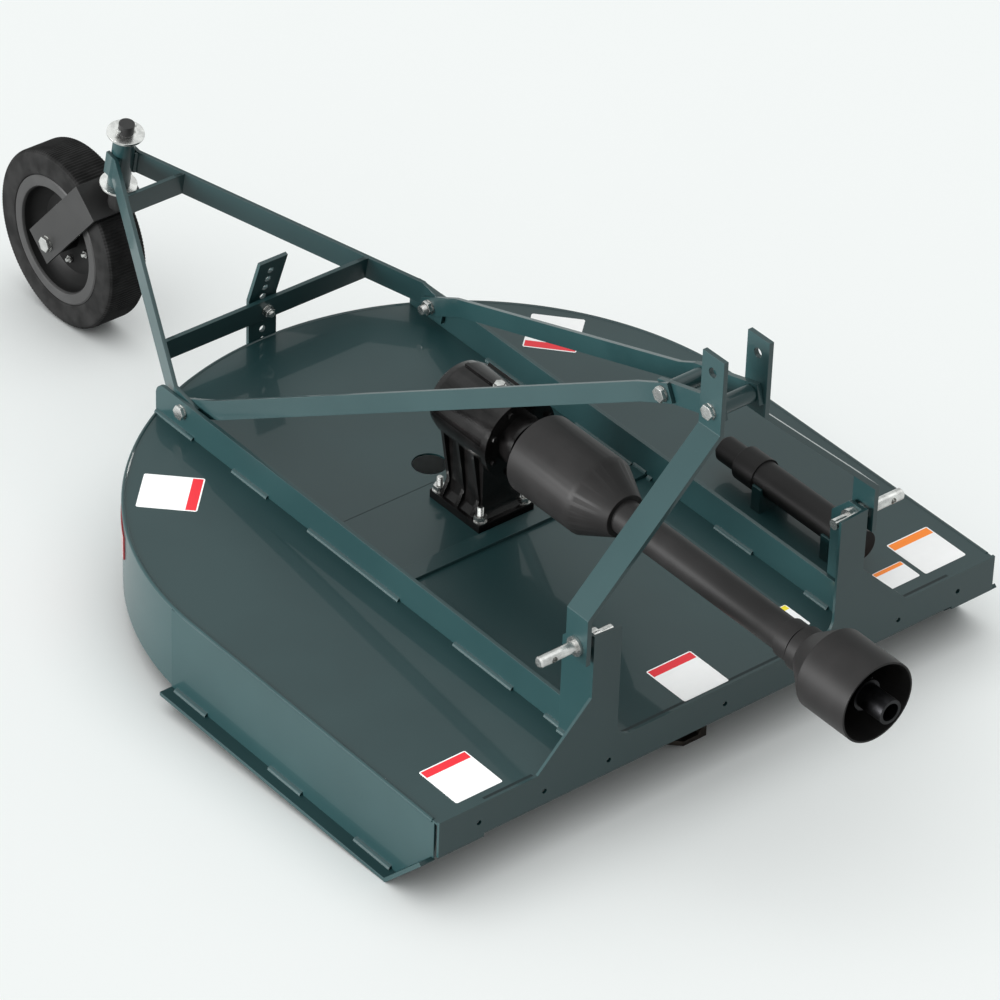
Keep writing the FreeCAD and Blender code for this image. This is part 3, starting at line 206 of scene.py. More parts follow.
def plasticFinish(name, base, rough, specular):
    look = plasticLook
    shader = Shader(name)
    speck = shader.noise(look["speck"], detail=2)
    scuff = shader.noise(look["scuff"], detail=5)
    paler = opaque(*[channel * look["paler"] for channel in base[:3]])
    color = shader.tones(scuff, base, paler, look["scuffFrom"], look["scuffTo"])
    return shader.finish({"Base Color": color, "Roughness": scuff.around(rough, look["roughSpan"]),
                          "Specular IOR Level": specular}, speck, look["speckDepth"])


def metalFinish(name, deep, pale, rough):
    look = metalLook
    shader = Shader(name)
    cloud = shader.noise(look["cloud"], detail=4)
    streak = shader.noise(look["streak"], detail=3, stretch=look["stretch"])
    return shader.finish({"Base Color": shader.tones(cloud, deep, pale), "Metallic": 1.0,
                          "Roughness": streak.around(rough, look["roughSpan"])}, streak, look["streakDepth"])


def castFinish(name, look):
    shader = Shader(name)
    cloud = shader.noise(look["cloud"], detail=3)
    grain = shader.noise(look["grain"], detail=3)
    return shader.finish({"Base Color": shader.tones(cloud, look["deep"], look["pale"]),
                          "Roughness": grain.around(look["rough"], look["roughSpan"]),
                          "Specular IOR Level": look["specular"], "Coat Weight": look["coat"],
                          "Coat Roughness": look["coatRough"]}, grain, look["grainDepth"])


def rubberFinish(name, look):
    shader = Shader(name)
    cloud = shader.noise(look["cloud"], detail=5)
    pores = shader.noise(look["pores"], detail=2)
    color = shader.tones(cloud, look["deep"], look["pale"], start=0.3, end=0.7)
    return shader.finish({"Base Color": color, "Roughness": cloud.around(look["rough"], look["roughSpan"]),
                          "Specular IOR Level": look["specular"]}, pores, look["poreDepth"])


def stickerFinish(name, band):
    # White vinyl with a plain band along the edge where V is 1 and a white border round it
    look = stickerLook
    soft = look["soft"]
    shader = Shader(name)
    split = shader.node("ShaderNodeSeparateXYZ", {},
                        {0: shader.node("ShaderNodeUVMap", {"uv_map": "sheet"}).outputs[0]})
    across = Value(shader, split.outputs[0])
    along = Value(shader, split.outputs[1])
    inside = (shader.step(across, look["border"], look["border"] + soft)
              * (1 - shader.step(across, 1 - look["border"] - soft, 1 - look["border"]))
              * shader.step(along, look["bandStart"], look["bandStart"] + soft)
              * (1 - shader.step(along, look["bandEnd"] - soft, look["bandEnd"])))
    film = shader.noise(look["film"], detail=3)
    sheet = shader.blend(film, look["white"], look["whiter"])
    return shader.finish({"Base Color": shader.blend(inside, sheet, band),
                          "Roughness": film.around(look["rough"], look["roughSpan"])},
                         film, look["filmDepth"])


paint = paintFinish("teal_paint", paintLook)
reflectorRed = paintFinish("reflector_red", reflectorLook)
guardPlastic = plasticFinish("guard_black", *blacks["guard"])
tubePlastic = plasticFinish("tube_black", *blacks["tube"])
forkPaint = plasticFinish("fork_black_paint", *blacks["fork"])
# The rim's disc takes black paint with painted shade, its lip the same paint with painted light
rimPaintAndShade = plasticFinish("rim_black_paint_and_shade", *blacks["rim"])
rimLipLit = plasticFinish("rim_lip_lit", *blacks["lip"])
# seamShade paints the shade inside the deck's seams and gaps
seamShade = plasticFinish("seam_shadow", *blacks["seam"])
zinc = metalFinish("zinc_plate", *metals["zinc"])
shaftSteel = metalFinish("shaft_black_steel", *metals["shaft"])
bladeSteel = metalFinish("blade_scale_steel", *metals["blade"])
castBlack = castFinish("gearbox_cast_black", castLook)
rubber = rubberFinish("tyre_rubber_black", rubberLook)
redSticker = stickerFinish("sticker_red", opaque(0.72, 0.008, 0.022))
orangeSticker = stickerFinish("sticker_orange", opaque(0.96, 0.24, 0.004))
yellowSticker = stickerFinish("sticker_yellow", opaque(0.85, 0.70, 0.02))
print("finishes made")

slotFinish = {"deck_paint": paint, "gearbox_black": castBlack, "guard_plastic": guardPlastic,
              "tube_plastic": tubePlastic, "zinc_steel": zinc, "fork_black": forkPaint,
              "tyre_rubber": rubber, "rim_black": rimPaintAndShade, "blade_steel": bladeSteel,
              "shaft_steel": shaftSteel}
slotOf = {row["node"]: row["material_slot"] for row in frame["record"]["subparts"]}


def addPiece(name, bm, finish, body, spot=None, smoothAngle=32):
    # Puts a drawing at its spot in the machine's axes, on its body
    bm.transform(standing @ (spot or Matrix()))
    mesh = bpy.data.meshes.new(name)
    bm.to_mesh(mesh)
    bm.free()
    for each in finish if isinstance(finish, list) else [finish]:
        mesh.materials.append(each)
    for face in mesh.polygons:
        face.use_smooth = True
    mesh.set_sharp_from_angle(angle=math.radians(smoothAngle))
    piece = bpy.data.objects.new(name, mesh)
    bpy.context.scene.collection.objects.link(piece)
    even = piece.modifiers.new("even_normals", "WEIGHTED_NORMAL")
    even.keep_sharp = True
    even.weight = 100
    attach(piece, body)
    return piece


def standIn(node, bm, finish=None, spot=None, smoothAngle=32):
    # Shows a drawing in the place of a imported node, on its body, with the finish of the node's slot unless
    # another finish is given
    slotName = slotOf[node]
    piece = addPiece(node + "_finished", bm, finish or slotFinish[slotName], frame["nodes"][node]["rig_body"],
                     spot, smoothAngle)
    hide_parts(node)


# Points closer than merge are one, edges within level lie level, angles between faces in degrees
drawing = {"merge": 0.000001, "level": 0.00001, "flat": 0.5, "sharp": 28}


def roundOff(bm, geometry, width, segments=2, affect="EDGES"):
    bmesh.ops.bevel(bm, geom=geometry, offset=width, offset_type="OFFSET", segments=segments, profile=0.5,
                    affect=affect, clamp_overlap=True, material=-1)


def extrude(bm, faces, shift):
    grown = bmesh.ops.extrude_face_region(bm, geom=faces)
    raised = [item for item in grown["geom"] if isinstance(item, bmesh.types.BMVert)]
    bmesh.ops.translate(bm, verts=raised, vec=shift)
    bmesh.ops.recalc_face_normals(bm, faces=bm.faces)


def soften(node, width, finish=None, pick=None):
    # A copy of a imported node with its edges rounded, shown in the node's place.
    # Where there are two finishes, pick says in machine metres which points take the second
    bm = bmesh.new()
    bm.from_mesh(frame["nodes"][node].data)
    bmesh.ops.remove_doubles(bm, verts=bm.verts, dist=drawing["merge"])
    bmesh.ops.dissolve_limit(bm, angle_limit=math.radians(drawing["flat"]), verts=bm.verts, edges=bm.edges)
    sharp = [edge for edge in bm.edges if len(edge.link_faces) == 2
             and edge.calc_face_angle() > math.radians(drawing["sharp"])]
    roundOff(bm, sharp, width)
    bm.transform(standing.inverted())
    if pick:
        for face in bm.faces:
            face.material_index = int(all(pick(vertex.co) for vertex in face.verts))
    standIn(node, bm, finish)


def turned(outline, steps=32):
    # Turns an outline of (radius, height) about Z
    bm = bmesh.new()
    corners = [bm.verts.new((radius, 0, height)) for radius, height in outline]
    edges = [bm.edges.new(pair) for pair in zip(corners, corners[1:])]
    bmesh.ops.spin(bm, geom=corners + edges, cent=(0, 0, 0), axis=(0, 0, 1), dvec=(0, 0, 0),
                   angle=math.tau, steps=steps, use_merge=True, use_duplicate=False)
    bmesh.ops.remove_doubles(bm, verts=bm.verts, dist=drawing["merge"])
    bmesh.ops.recalc_face_normals(bm, faces=bm.faces)
    return bm


def rod(radius, low, high):
    return turned([(0, low), (radius, low), (radius, high), (0, high)])


def washer(inner, outer, low, high):
    return turned([(inner, low), (outer, low), (outer, high), (inner, high)])


def hexagon(radius, low, high, chamfer=0.0012):
    # Hexagonal head or nut standing on Z, both rims chamfered
    bm = bmesh.new()
    bmesh.ops.create_cone(bm, cap_ends=True, segments=6, radius1=radius, radius2=radius, depth=high - low,
                          matrix=Matrix.Translation((0, 0, (high + low) / 2)))
    rims = [edge for edge in bm.edges if abs(edge.verts[0].co.z - edge.verts[1].co.z) < drawing["level"]]
    roundOff(bm, rims, chamfer)
    return bm


threadShape = {"pitch": 0.0018, "depth": 0.0009, "tip": 0.0015, "steps": 24}


def thread(radius, low, high):
    # Threaded end with a chamfered tip
    pitch = threadShape["pitch"]
    outline = [(0, low), (radius, low)]
    for number in range(int((high - low) / pitch)):
        start = low + number * pitch
        outline += [(radius - threadShape["depth"], start + pitch * 0.5), (radius, start + pitch)]
    outline += [(radius - threadShape["tip"], high), (0, high)]
    return turned(outline, threadShape["steps"])


def moved(bm, matrix):
    bm.transform(matrix)
    return bm


def join(whole, *extras):
    # Adds drawings to the first one
    for extra in extras:
        held = bpy.data.meshes.new("held")
        extra.to_mesh(held)
        extra.free()
        whole.from_mesh(held)
        bpy.data.meshes.remove(held)
    return whole


beadShape = {"arch": 0.25, "steps": 4}


def bead(start, end, first, second, leg):
    # Weld along start to end in the corner between two directions
    bm = bmesh.new()
    ring = [start]
    for number in range(beadShape["steps"] + 1):
        share = number / beadShape["steps"]
        flat = start + first * leg * (1 - share) + second * leg * share
        bulge = (first + second).normalized() * leg * beadShape["arch"] * math.sin(math.pi * share)
        ring.append(flat + bulge)
    face = bm.faces.new([bm.verts.new(corner) for corner in ring])
    extrude(bm, [face], end - start)
    return bm


def beads(whole, start, end, first, second, leg):
    # The same weld on the right and on the left
    for side in (1, -1):
        mirror = Matrix.Diagonal((side, 1, 1))
        join(whole, bead(*[mirror @ Vector(each) for each in (start, end, first, second)], leg))


def block(x0, x1, y0, y1, z0, z1, edge):
    # Box between two corners with rounded edges
    bm = bmesh.new()
    size = Matrix.Diagonal((x1 - x0, y1 - y0, z1 - z0, 1))
    centre = Matrix.Translation(((x0 + x1) / 2, (y0 + y1) / 2, (z0 + z1) / 2))
    bmesh.ops.create_cube(bm, size=1, matrix=centre @ size)
    roundOff(bm, bm.edges[:], edge)
    return bm


print("tools ready")

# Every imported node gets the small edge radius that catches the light. The handled ones are drawn further down
edgeWidth = {"deck_plate": 0.0004, "front_plate": 0.0006, "side_skirt": 0.0006, "rear_band": 0.0006,
             "skid": 0.0007, "rail": 0.0007, "upright_side": 0.0006, "cross_member": 0.0007,
             "height_strap": 0.0007, "mast_leg": 0.0008, "link": 0.0007, "brace": 0.0007,
             "tail_bar": 0.0007, "tail_cross": 0.0007, "caster_tube": 0.0006, "document_tube": 0.0012,
             "tube_bracket": 0.0007, "gearbox_housing": 0.0016, "rear_guard": 0.0010,
             "front_guard": 0.0010, "blade_carrier": 0.0012, "blade_bolt": 0.0010, "blade": 0.0010,
             "rear_driveline": 0.0010, "front_driveline": 0.0010, "hitch_pin": 0.0008}
handled = ["lug_bolt", "mast_bolt", "link_bolt", "wheel_axle", "tail_tyre", "tail_rim", "caster_fork"]
families = sorted([*edgeWidth, *handled], key=len, reverse=True)
for node in sorted(frame["nodes"]):
    family = next(name for name in families if node.startswith(name))
    if family in edgeWidth:
        soften(node, edgeWidth[family])
print("packed nodes dressed")

# Caster fork: black strap and spindle, zinc washers above and below the tube
caster = {"edge": 0.0012, "washerFrom": 0.0155, "washerTo": 0.039, "washerThick": 0.005, "tubeTop": 0.070,
          "tubeFoot": 0.057, "slack": 0.0003, "footSlack": 0.0006}
toTube = tubePlace.inverted()
washerTop = caster["tubeTop"] + caster["washerThick"]
washerFoot = caster["tubeFoot"] + caster["washerThick"]


def isWasher(point):
    local = toTube @ point
    top = caster["tubeTop"] - caster["slack"] < local.z < washerTop + caster["slack"]
    low = -washerFoot - caster["footSlack"] < local.z < -caster["tubeFoot"] + caster["slack"]
    return caster["washerFrom"] < math.hypot(local.x, local.y) < caster["washerTo"] and (top or low)


soften("caster_fork", caster["edge"], [forkPaint, zinc], isWasher)

# Roll pin through the spindle above the top washer
rollPin = {"radius": 0.0045, "half": 0.023, "tipRadius": 0.0036, "tip": 0.001, "above": 0.0095, "steps": 20}
outline = [(0, -rollPin["half"]), (rollPin["tipRadius"], -rollPin["half"]),
           (rollPin["radius"], rollPin["tip"] - rollPin["half"])]
outline += [(radius, -height) for radius, height in reversed(outline)]
addPiece("spindle_roll_pin", turned(outline, rollPin["steps"]), zinc, "caster",
         spot=tubePlace @ place(0, 0, washerTop + rollPin["above"]) @ sideways)

# Tyre of the tail wheel: its section in steps (out, in from the side) at the bead and at the tread
tyre = {"bead": 0.138, "radius": 0.190, "half": 0.046, "smooth": 24,
        "atBead": [(-0.010, 0.003), (-0.0005, 0.0035), (0.0015, 0.0012), (0.004, 0.0002)],
        "atTread": [(-0.011, 0), (-0.005, 0.0022), (-0.0015, 0.006), (0, 0.011)],
        "laminations": 168, "groove": 0.0014, "grooveFrom": 0.184}
outline = [(tyre["bead"] + out, inward - tyre["half"]) for out, inward in tyre["atBead"]]
outline += [(tyre["radius"] + out, inward - tyre["half"]) for out, inward in tyre["atTread"]]
outline += [(radius, -height) for radius, height in reversed(outline)]
bm = turned(outline, tyre["laminations"] * 2)
for vertex in bm.verts:
    reach = math.hypot(vertex.co.x, vertex.co.y)
    step = math.atan2(vertex.co.y, vertex.co.x) / math.tau * tyre["laminations"] * 2
    if reach > tyre["grooveFrom"] and round(step) % 2:
        vertex.co.x *= 1 - tyre["groove"] / reach
        vertex.co.y *= 1 - tyre["groove"] / reach
standIn("tail_tyre", bm, spot=wheelPlace @ sideways, smoothAngle=tyre["smooth"])

# Pressed rim: cross section of one half as (radius, distance from the middle). The lip is paler than the disc
# as painted light on the flange, and the disc's deeper black is painted shade of its recessed well
rim = {"outline": [(0.0101, 0.0545), (0.027, 0.0545), (0.028, 0.0535), (0.028, 0.008), (0.034, 0.006),
                   (0.070, 0.006), (0.086, 0.004), (0.104, 0.016), (0.112, 0.030), (0.112, 0.040),
                   (0.115, 0.045), (0.118, 0.046), (0.1342, 0.046), (0.1372, 0.044)],
       "lipFrom": 0.1125, "steps": 96}
outline = [(radius, -height) for radius, height in rim["outline"]] + rim["outline"][::-1]
outline.append(outline[0])
bm = turned(outline, rim["steps"])
for face in bm.faces:
    middle = face.calc_center_median()
    face.material_index = int(math.hypot(middle.x, middle.y) > rim["lipFrom"])
standIn("tail_rim", bm, [rimPaintAndShade, rimLipLit], wheelPlace @ sideways)

# Hub bolts: nut and thread on one side of the disc, head on the other
hubBolt = {"circle": 0.058, "count": 5, "head": 0.0085, "seat": 0.0055, "top": 0.013, "shank": 0.005,
           "threadFrom": 0.012, "tip": 0.019}
bm = bmesh.new()
for number in range(hubBolt["count"]):
    spot = place(turn=360 * number / hubBolt["count"], axis="Z") @ place(hubBolt["circle"])
    join(bm, moved(hexagon(hubBolt["head"], hubBolt["seat"], hubBolt["top"]), spot),
         moved(thread(hubBolt["shank"], hubBolt["threadFrom"], hubBolt["tip"]), spot),
         moved(hexagon(hubBolt["head"], -hubBolt["top"], -hubBolt["seat"]), spot))
addPiece("wheel_bolts", bm, zinc, "tail_wheel", spot=wheelPlace @ sideways)
print("tail wheel made")

# Hex bolts along X, head and nut outside both sides. Half is half the grip, tube the spacer's radius and half
crossBolts = {"mast_bolt": {"spot": place(0, -0.025, 0.797), "half": 0.056, "head": 0.0152, "shank": 0.0094,
                            "washer": 0.0022, "tube": (0.0165, 0.0352)},
              "link_bolt": {"spot": place(0, -0.152, 0.762), "half": 0.0544, "head": 0.0152, "shank": 0.0094,
                            "washer": 0.0022, "tube": (0.0165, 0.0356)},
              "wheel_axle": {"spot": wheelPlace, "half": 0.063, "head": 0.0170, "shank": 0.0099,
                             "washer": 0.0020, "tube": None}}
crossShape = {"ends": 0.011, "washerShare": 0.98, "threadShare": 0.95, "threadFrom": 0.010, "tip": 0.0155,
              "tubeEdge": 0.001, "tubeSteps": 48}
for node, bolt in crossBolts.items():
    half, head, shank = bolt["half"], bolt["head"], bolt["shank"]
    seat = half + bolt["washer"]
    end = half + crossShape["ends"]
    outer = head * crossShape["washerShare"]
    tip = thread(shank * crossShape["threadShare"], half + crossShape["threadFrom"], half + crossShape["tip"])
    bm = join(rod(shank, -half, half), washer(shank, outer, half, seat), washer(shank, outer, -seat, -half),
              hexagon(head, seat, end), hexagon(head, -end, -seat), moved(tip, place(turn=180)))
    finish = [zinc]
    if bolt["tube"]:
        radius, reach = bolt["tube"]
        edge = crossShape["tubeEdge"]
        outline = [(shank, -reach), (radius - edge, -reach), (radius, -reach + edge),
                   (radius, reach - edge), (radius - edge, reach), (shank, reach)]
        spacer = turned(outline, crossShape["tubeSteps"])
        for face in spacer.faces:
            face.material_index = 1
        join(bm, spacer)
        finish = [zinc, paint]
    standIn(node, bm, finish, bolt["spot"] @ sideways)

# Lug bolts: head outside the rail, nut and thread inside
lug = {"inner": 0.2832, "shank": 0.0094, "head": 0.0152, "headHigh": 0.0108, "nut": 0.014896,
       "nutHigh": 0.0115, "washer": 0.0150, "washerThick": 0.0020, "threadLong": 0.013, "threadFrom": 0.010}
outer, inner, thick = machine["railOuter"], lug["inner"], lug["washerThick"]
for word, turn in (("right", 90), ("left", -90)):
    bm = join(rod(lug["shank"], inner, outer), washer(lug["shank"], lug["washer"], outer, outer + thick),
              hexagon(lug["head"], outer + thick, outer + lug["headHigh"]),
              washer(lug["shank"], lug["washer"], inner - thick, inner),
              hexagon(lug["nut"], inner - lug["nutHigh"], inner - thick),
              moved(thread(lug["shank"], 0, lug["threadLong"]), place(0, 0, inner - lug["threadFrom"], 180)))
    standIn("lug_bolt_" + word, bm,
            spot=place(0, -machine["lugBack"], machine["lugHigh"]) @ place(turn=turn, axis="Y"))

# Bolt that holds the tail frame at one hole of the height strap: head behind the strap, nut on the cross bar
heightBolt = {"barFront": -0.1471, "strapBack": -1.3763, "high": 0.2591, "shank": 0.0063, "head": 0.0112,
              "washer": 0.0125, "washerThick": 0.0018, "nutHigh": 0.0125, "headHigh": 0.0105,
              "inBar": 0.0075, "inStrap": 0.0078, "tip": 0.0185}
shank, outer, thick = heightBolt["shank"], heightBolt["washer"], heightBolt["washerThick"]
bm = join(washer(shank, outer, 0, thick), hexagon(heightBolt["head"], thick, heightBolt["nutHigh"]),
          thread(shank, -heightBolt["inBar"], heightBolt["tip"]))
addPiece("height_bolt_nut", bm, zinc, "tail_frame", spot=tailPlace @ place(0, heightBolt["barFront"], 0, -90))
outline = [(0, -heightBolt["inStrap"]), (shank, -heightBolt["inStrap"]), (shank, thick), (outer, thick),
           (outer, 0), (shank, 0)]
bm = join(turned(outline), hexagon(heightBolt["head"], thick, heightBolt["headHigh"]))
addPiece("height_bolt_head", bm, zinc, "root", spot=place(0, heightBolt["strapBack"], heightBolt["high"], 90))
print("bolts made")

# Studs and nuts of the gearbox foot
stud = {"across": 0.052, "along": 0.060, "foot": 0.205, "radius": 0.0062, "washer": 0.0135,
        "washerThick": 0.0018, "nut": 0.0125, "nutTop": 0.0128, "threadFrom": 0.010, "top": 0.031}
bm = bmesh.new()
for x in (-stud["across"], stud["across"]):
    for y in (-stud["along"], stud["along"]):
        spot = place(x, y - machine["gearBack"], stud["foot"])
        join(bm, moved(washer(stud["radius"], stud["washer"], 0, stud["washerThick"]), spot),
             moved(hexagon(stud["nut"], stud["washerThick"], stud["nutTop"]), spot),
             moved(thread(stud["radius"], stud["threadFrom"], stud["top"]), spot))
addPiece("gearbox_studs", bm, zinc, "root")

# Cap screws of the gearbox's front flange
screw = {"front": -0.592, "circle": 0.0685, "head": 0.0065, "long": 0.0065, "round": 0.0008, "count": 8}
bm = bmesh.new()
for number in range(screw["count"]):
    turn = 360 * (number + 0.5) / screw["count"]
    spot = place(turn=turn, axis="Z") @ place(screw["circle"], 0, screw["front"])
    join(bm, moved(hexagon(screw["head"], 0, screw["long"], screw["round"]), spot))
addPiece("gearbox_flange_screws", bm, castBlack, "root", shaftPlace)

# Zinc filler plug on the drum
plug = {"back": -0.655, "high": 0.4705, "head": 0.0105, "seat": 0.0035, "top": 0.011,
        "outline": [(0, 0), (0.0125, 0), (0.0125, 0.003), (0.0075, 0.0035), (0, 0.0035)]}
bm = join(turned(plug["outline"]), hexagon(plug["head"], plug["seat"], plug["top"]))
addPiece("gearbox_plug", bm, zinc, "root", spot=place(0, plug["back"], plug["high"]))

# Welds of the deck, each list with its runs from the tail forward or upward
right, left, front, rear, up = (1, 0, 0), (-1, 0, 0), (0, 1, 0), (0, -1, 0), (0, 0, 1)
weld = {"leg": 0.0065, "runnerLeg": 0.007, "crossLeg": 0.005, "crossTop": 0.195,
        "railOutside": [(-1.290, -1.172), (-1.048, -0.941), (-0.816, -0.547), (-0.387, -0.221),
                        (-0.129, -0.088)],
        "railInside": [(-1.052, -0.938), (-0.785, -0.620), (-0.573, -0.561), (-0.378, -0.274),
                       (-0.127, -0.065)],
        "runner": [(-0.762, -0.668), (-0.480, -0.385), (-0.230, -0.128)],
        "uprightFoot": [(-0.084, -0.052), (-0.036, -0.007)],
        "uprightFront": [(0.215, 0.262), (0.330, 0.378)],
        "crossEnd": [(-0.614, -0.578)]}
# Runs along the machine: list, distance from the middle, height, direction beside the upward one, leg
alongRuns = [("railOutside", machine["railOuter"], machine["deckTop"], right, weld["leg"]),
             ("railInside", machine["railInner"], machine["deckTop"], left, weld["leg"]),
             ("runner", machine["half"], machine["skidTop"], right, weld["runnerLeg"]),
             ("uprightFoot", machine["uprightOuter"], machine["deckTop"], right, weld["leg"]),
             ("crossEnd", machine["railInner"], weld["crossTop"], left, weld["crossLeg"])]
bm = bmesh.new()
for name, x, z, beside, leg in alongRuns:
    for y0, y1 in weld[name]:
        beads(bm, (x, y0, z), (x, y1, z), beside, up, leg)
x, y = machine["railInner"], -machine["sheetThick"]
for z0, z1 in weld["uprightFront"]:
    beads(bm, (x, y, z0), (x, y, z1), left, rear, weld["leg"])
addPiece("deck_welds", bm, paint, "root")

# Welds of the tail frame: ends of the cross bars in the corners of the bars, bars on the caster tube
tailWeld = {"crossEnds": [(0.2353, 0.1471), (0.0633, 0.515)], "long": 0.016, "middle": 0.004, "edge": 0.0262,
            "leg": 0.0035, "tubeSide": 0.0223, "tubeFront": -0.6135, "tubeHalf": 0.024, "tubeLeg": 0.006}
bm = bmesh.new()
for x, back in tailWeld["crossEnds"]:
    for z in (tailWeld["edge"], -tailWeld["edge"]):
        beads(bm, (x - tailWeld["long"], -back - tailWeld["middle"], z), (x, -back - tailWeld["middle"], z),
              front, rear, tailWeld["leg"])
x, y, z = tailWeld["tubeSide"], tailWeld["tubeFront"], tailWeld["tubeHalf"]
beads(bm, (x, y, -z), (x, y, z), left, front, tailWeld["tubeLeg"])
addPiece("tail_welds", bm, paint, "tail_frame", tailPlace)

# Rounded seam along the deck's outer edge, round the tail and forward again
edgeSeam = {"radius": 0.0042, "inset": 0.0022, "front": -0.020, "steps": 96, "sides": 10}
half = machine["half"]
path = [(half, edgeSeam["front"], 0)]
for number in range(edgeSeam["steps"] + 1):
    turn = -math.pi * number / edgeSeam["steps"]
    path.append((half * math.cos(turn), half * math.sin(turn) - machine["arcBack"], turn))
path.append((-half, edgeSeam["front"], -math.pi))
bm = bmesh.new()
rings = []
for x, y, turn in path:
    outward = Vector((math.cos(turn), math.sin(turn), 0))
    middle = Vector((x, y, machine["deckTop"] - edgeSeam["inset"])) - outward * edgeSeam["inset"]
    ring = []
    for number in range(edgeSeam["sides"]):
        spin = math.tau * number / edgeSeam["sides"]
        reach = outward * math.cos(spin) + Vector(up) * math.sin(spin)
        ring.append(bm.verts.new(middle + reach * edgeSeam["radius"]))
    rings.append(ring)
for first, second in zip(rings, rings[1:]):
    for number in range(edgeSeam["sides"]):
        after = (number + 1) % edgeSeam["sides"]
        bm.faces.new((first[number], first[after], second[after], second[number]))
bm.faces.new(rings[0])
bm.faces.new(rings[-1])
bmesh.ops.recalc_face_normals(bm, faces=bm.faces)
addPiece("deck_edge_seam", bm, paint, "root")
print("welds made")

# Blank stickers on the deck: name, finish, centre, length, width, turn of the banded edge from the front
stickers = [("sticker_rear_right", redSticker, (0.4425, -1.0626), 0.115, 0.105, 45),
            ("sticker_rear_left", redSticker, (-0.4605, -1.0470), 0.115, 0.105, -48.5),
            ("sticker_front_right", redSticker, (0.5373, -0.0826), 0.107, 0.103, 180),
            ("sticker_front_middle", redSticker, (0.0345, -0.0658), 0.108, 0.104, 180),
            ("sticker_front_left", orangeSticker, (-0.5636, -0.0928), 0.109, 0.100, 180),
            ("sticker_left_small", orangeSticker, (-0.4673, -0.0686), 0.055, 0.071, 180),
            ("sticker_left_rail", yellowSticker, (-0.2105, -0.0865), 0.071, 0.070, 180)]
stickerShape = {"thick": 0.0004, "corner": 0.004, "cornerSteps": 4, "above": 0.0001}
for name, finish, (x, y), long, wide, turn in stickers:
    bm = bmesh.new()
    uv = bm.loops.layers.uv.new("sheet")
    bmesh.ops.create_grid(bm, x_segments=1, y_segments=1, size=0.5,
                          matrix=Matrix.Diagonal((wide, long, 1, 1)))
    roundOff(bm, bm.verts[:], stickerShape["corner"], stickerShape["cornerSteps"], "VERTICES")
    extrude(bm, bm.faces[:], (0, 0, stickerShape["thick"]))
    # The band runs along the edge on the local +Y side
    for face in bm.faces:
        for loop in face.loops:
            loop[uv].uv = (loop.vert.co.x / wide + 0.5, loop.vert.co.y / long + 0.5)
    z = machine["deckTop"] + stickerShape["above"]
    addPiece(name, bm, finish, "root", spot=place(x, y, z, turn, "Z"))

# Red strips on the round tail, angles in degrees from the right
reflector = {"from": -29.2, "to": -49.5, "low": 0.105, "high": 0.157, "gap": 0.0002, "thick": 0.003,
             "steps": 24}
for word, start, end in (("right", reflector["from"], reflector["to"]),
                         ("left", -180 - reflector["from"], -180 - reflector["to"])):
    bm = bmesh.new()
    inner, outer = machine["half"] + reflector["gap"], machine["half"] + reflector["thick"]
    corners = [bm.verts.new((radius, 0, high)) for radius, high in
               ((inner, reflector["low"]), (outer, reflector["low"]),
                (outer, reflector["high"]), (inner, reflector["high"]))]
    face = bm.faces.new(corners)
    bm.transform(place(turn=start, axis="Z"))
    bmesh.ops.spin(bm, geom=[face], cent=(0, 0, 0), axis=(0, 0, 1), dvec=(0, 0, 0),
                   angle=math.radians(end - start), steps=reflector["steps"], use_merge=False,
                   use_duplicate=False)
    bmesh.ops.recalc_face_normals(bm, faces=bm.faces)
    addPiece("reflector_" + word, bm, reflectorRed, "root", spot=place(0, -machine["arcBack"]))

# Dark strips of painted shade on the deck: the shade in the butt seam beside the gearbox, and in the gaps
# behind the front sheet from right to left
strip = {"thick": 0.00025, "edge": 0.0001, "seam": (-0.8008, -0.7992), "gap": (-0.0160, -0.0062),
         "seamRuns": [("right", 0.030, 0.240), ("left", -0.240, -0.030)],
         "gapRuns": [(0.434, 0.543), (0.077, 0.264), (-0.250, -0.003), (-0.543, -0.433)]}
stripTop = machine["deckTop"] + strip["thick"]
for word, x0, x1 in strip["seamRuns"]:
    addPiece("deck_seam_shade_" + word, block(x0, x1, *strip["seam"], machine["deckTop"], stripTop, strip["edge"]),
             seamShade, "root")
# The gap strips are a dark sheet painted where the recess behind the front sheet lies in shade
bm = bmesh.new()
for x0, x1 in strip["gapRuns"]:
    join(bm, block(x0, x1, *strip["gap"], machine["deckTop"], stripTop, strip["edge"]))
addPiece("deck_front_gap_shade", bm, seamShade, "root")
print("stickers and seams made")

# Stage: pale floor, white studio, soft lights and the camera of the photograph
stage = {"backdrop": opaque(0.896, 0.930, 0.921), "studio": 0.5, "size": 40, "cloud": 2,
         "floor": opaque(0.925, 0.960, 0.951), "floorPale": opaque(0.935, 0.970, 0.961)}
shader = Shader("studio_floor")
floorColor = shader.blend(shader.noise(stage["cloud"], detail=2), stage["floor"], stage["floorPale"])
mesh = bpy.data.meshes.new("floor")
bm = bmesh.new()
bmesh.ops.create_grid(bm, x_segments=1, y_segments=1, size=stage["size"])
bm.to_mesh(mesh)
bm.free()
mesh.materials.append(shader.finish({"Base Color": floorColor, "Roughness": 1.0, "Specular IOR Level": 0.0}))
floor = bpy.data.objects.new("floor", mesh)
bpy.context.scene.collection.objects.link(floor)

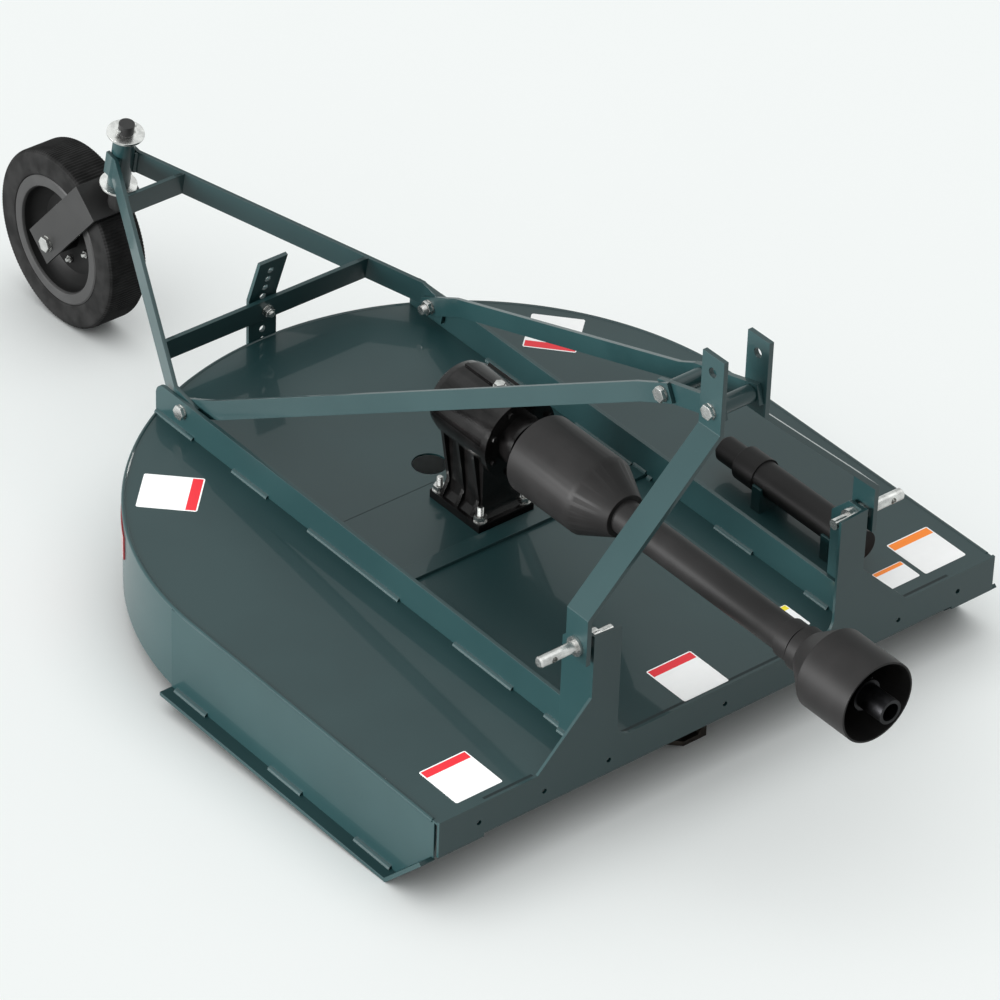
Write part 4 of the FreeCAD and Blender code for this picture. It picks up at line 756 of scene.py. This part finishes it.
# Rays from the camera see the white backdrop, and so do mirrored and refracted ones. The rest see plain light
world = bpy.data.worlds.new("studio")
bpy.context.scene.world = world
world.use_nodes = True
tree = world.node_tree
tree.nodes.clear()
light = tree.nodes.new("ShaderNodeBackground")
light.inputs["Color"].default_value = opaque(1, 1, 1)
light.inputs["Strength"].default_value = stage["studio"]
backdrop = tree.nodes.new("ShaderNodeBackground")
backdrop.inputs["Color"].default_value = stage["backdrop"]
seen = tree.nodes.new("ShaderNodeLightPath")
shown = seen.outputs["Is Camera Ray"]
for other in ("Is Glossy Ray", "Is Transmission Ray"):
    larger = tree.nodes.new("ShaderNodeMath")
    larger.operation = "MAXIMUM"
    tree.links.new(shown, larger.inputs[0])
    tree.links.new(seen.outputs[other], larger.inputs[1])
    shown = larger.outputs[0]
blend = tree.nodes.new("ShaderNodeMixShader")
tree.links.new(shown, blend.inputs[0])
tree.links.new(light.outputs[0], blend.inputs[1])
tree.links.new(backdrop.outputs[0], blend.inputs[2])
tree.links.new(blend.outputs[0], tree.nodes.new("ShaderNodeOutputWorld").inputs[0])

# Suns: direction each comes from, strength, width in degrees
suns = {"key": ((0.97, -0.22, 0.09), 11.0, 38),
        "top": ((0.10, 0.10, 1.0), 1.5, 90)}
lamps = {}
for name, (source, strength, wide) in suns.items():
    lamp = bpy.data.lights.new(name, "SUN")
    lamp.energy = strength
    lamp.angle = math.radians(wide)
    lamps[name] = bpy.data.objects.new(name, lamp)
    lamps[name].rotation_euler = Vector(source).to_track_quat("Z", "Y").to_euler()
    bpy.context.scene.collection.objects.link(lamps[name])
# The low key sun would draw a long streak over the floor, so it passes the floor by
unlit = bpy.data.collections.new("unlit_by_key")
unlit.objects.link(floor)
unlit.collection_objects[0].light_linking.link_state = "EXCLUDE"
lamps["key"].light_linking.receiver_collection = unlit

view = {"place": (5.672032, 7.289589, 6.276650), "target": (0.120064, 0.388587, 0.378681), "roll": -0.1178,
        "lens": 212.691, "sensor": 36, "clip": 200}
camera = bpy.data.objects.new("camera", bpy.data.cameras.new("camera"))
camera.data.lens = view["lens"]
camera.data.sensor_width = view["sensor"]
camera.data.clip_end = view["clip"]
back = (Vector(view["place"]) - Vector(view["target"])).normalized()
across = Vector(up).cross(back).normalized()
aim = Matrix((across, back.cross(across), back)).transposed().to_4x4()
camera.matrix_world = Matrix.Translation(view["place"]) @ aim @ place(turn=view["roll"], axis="Z")
bpy.context.scene.collection.objects.link(camera)
bpy.context.scene.camera = camera
bpy.context.scene.view_settings.view_transform = "Standard"
print("stage set")
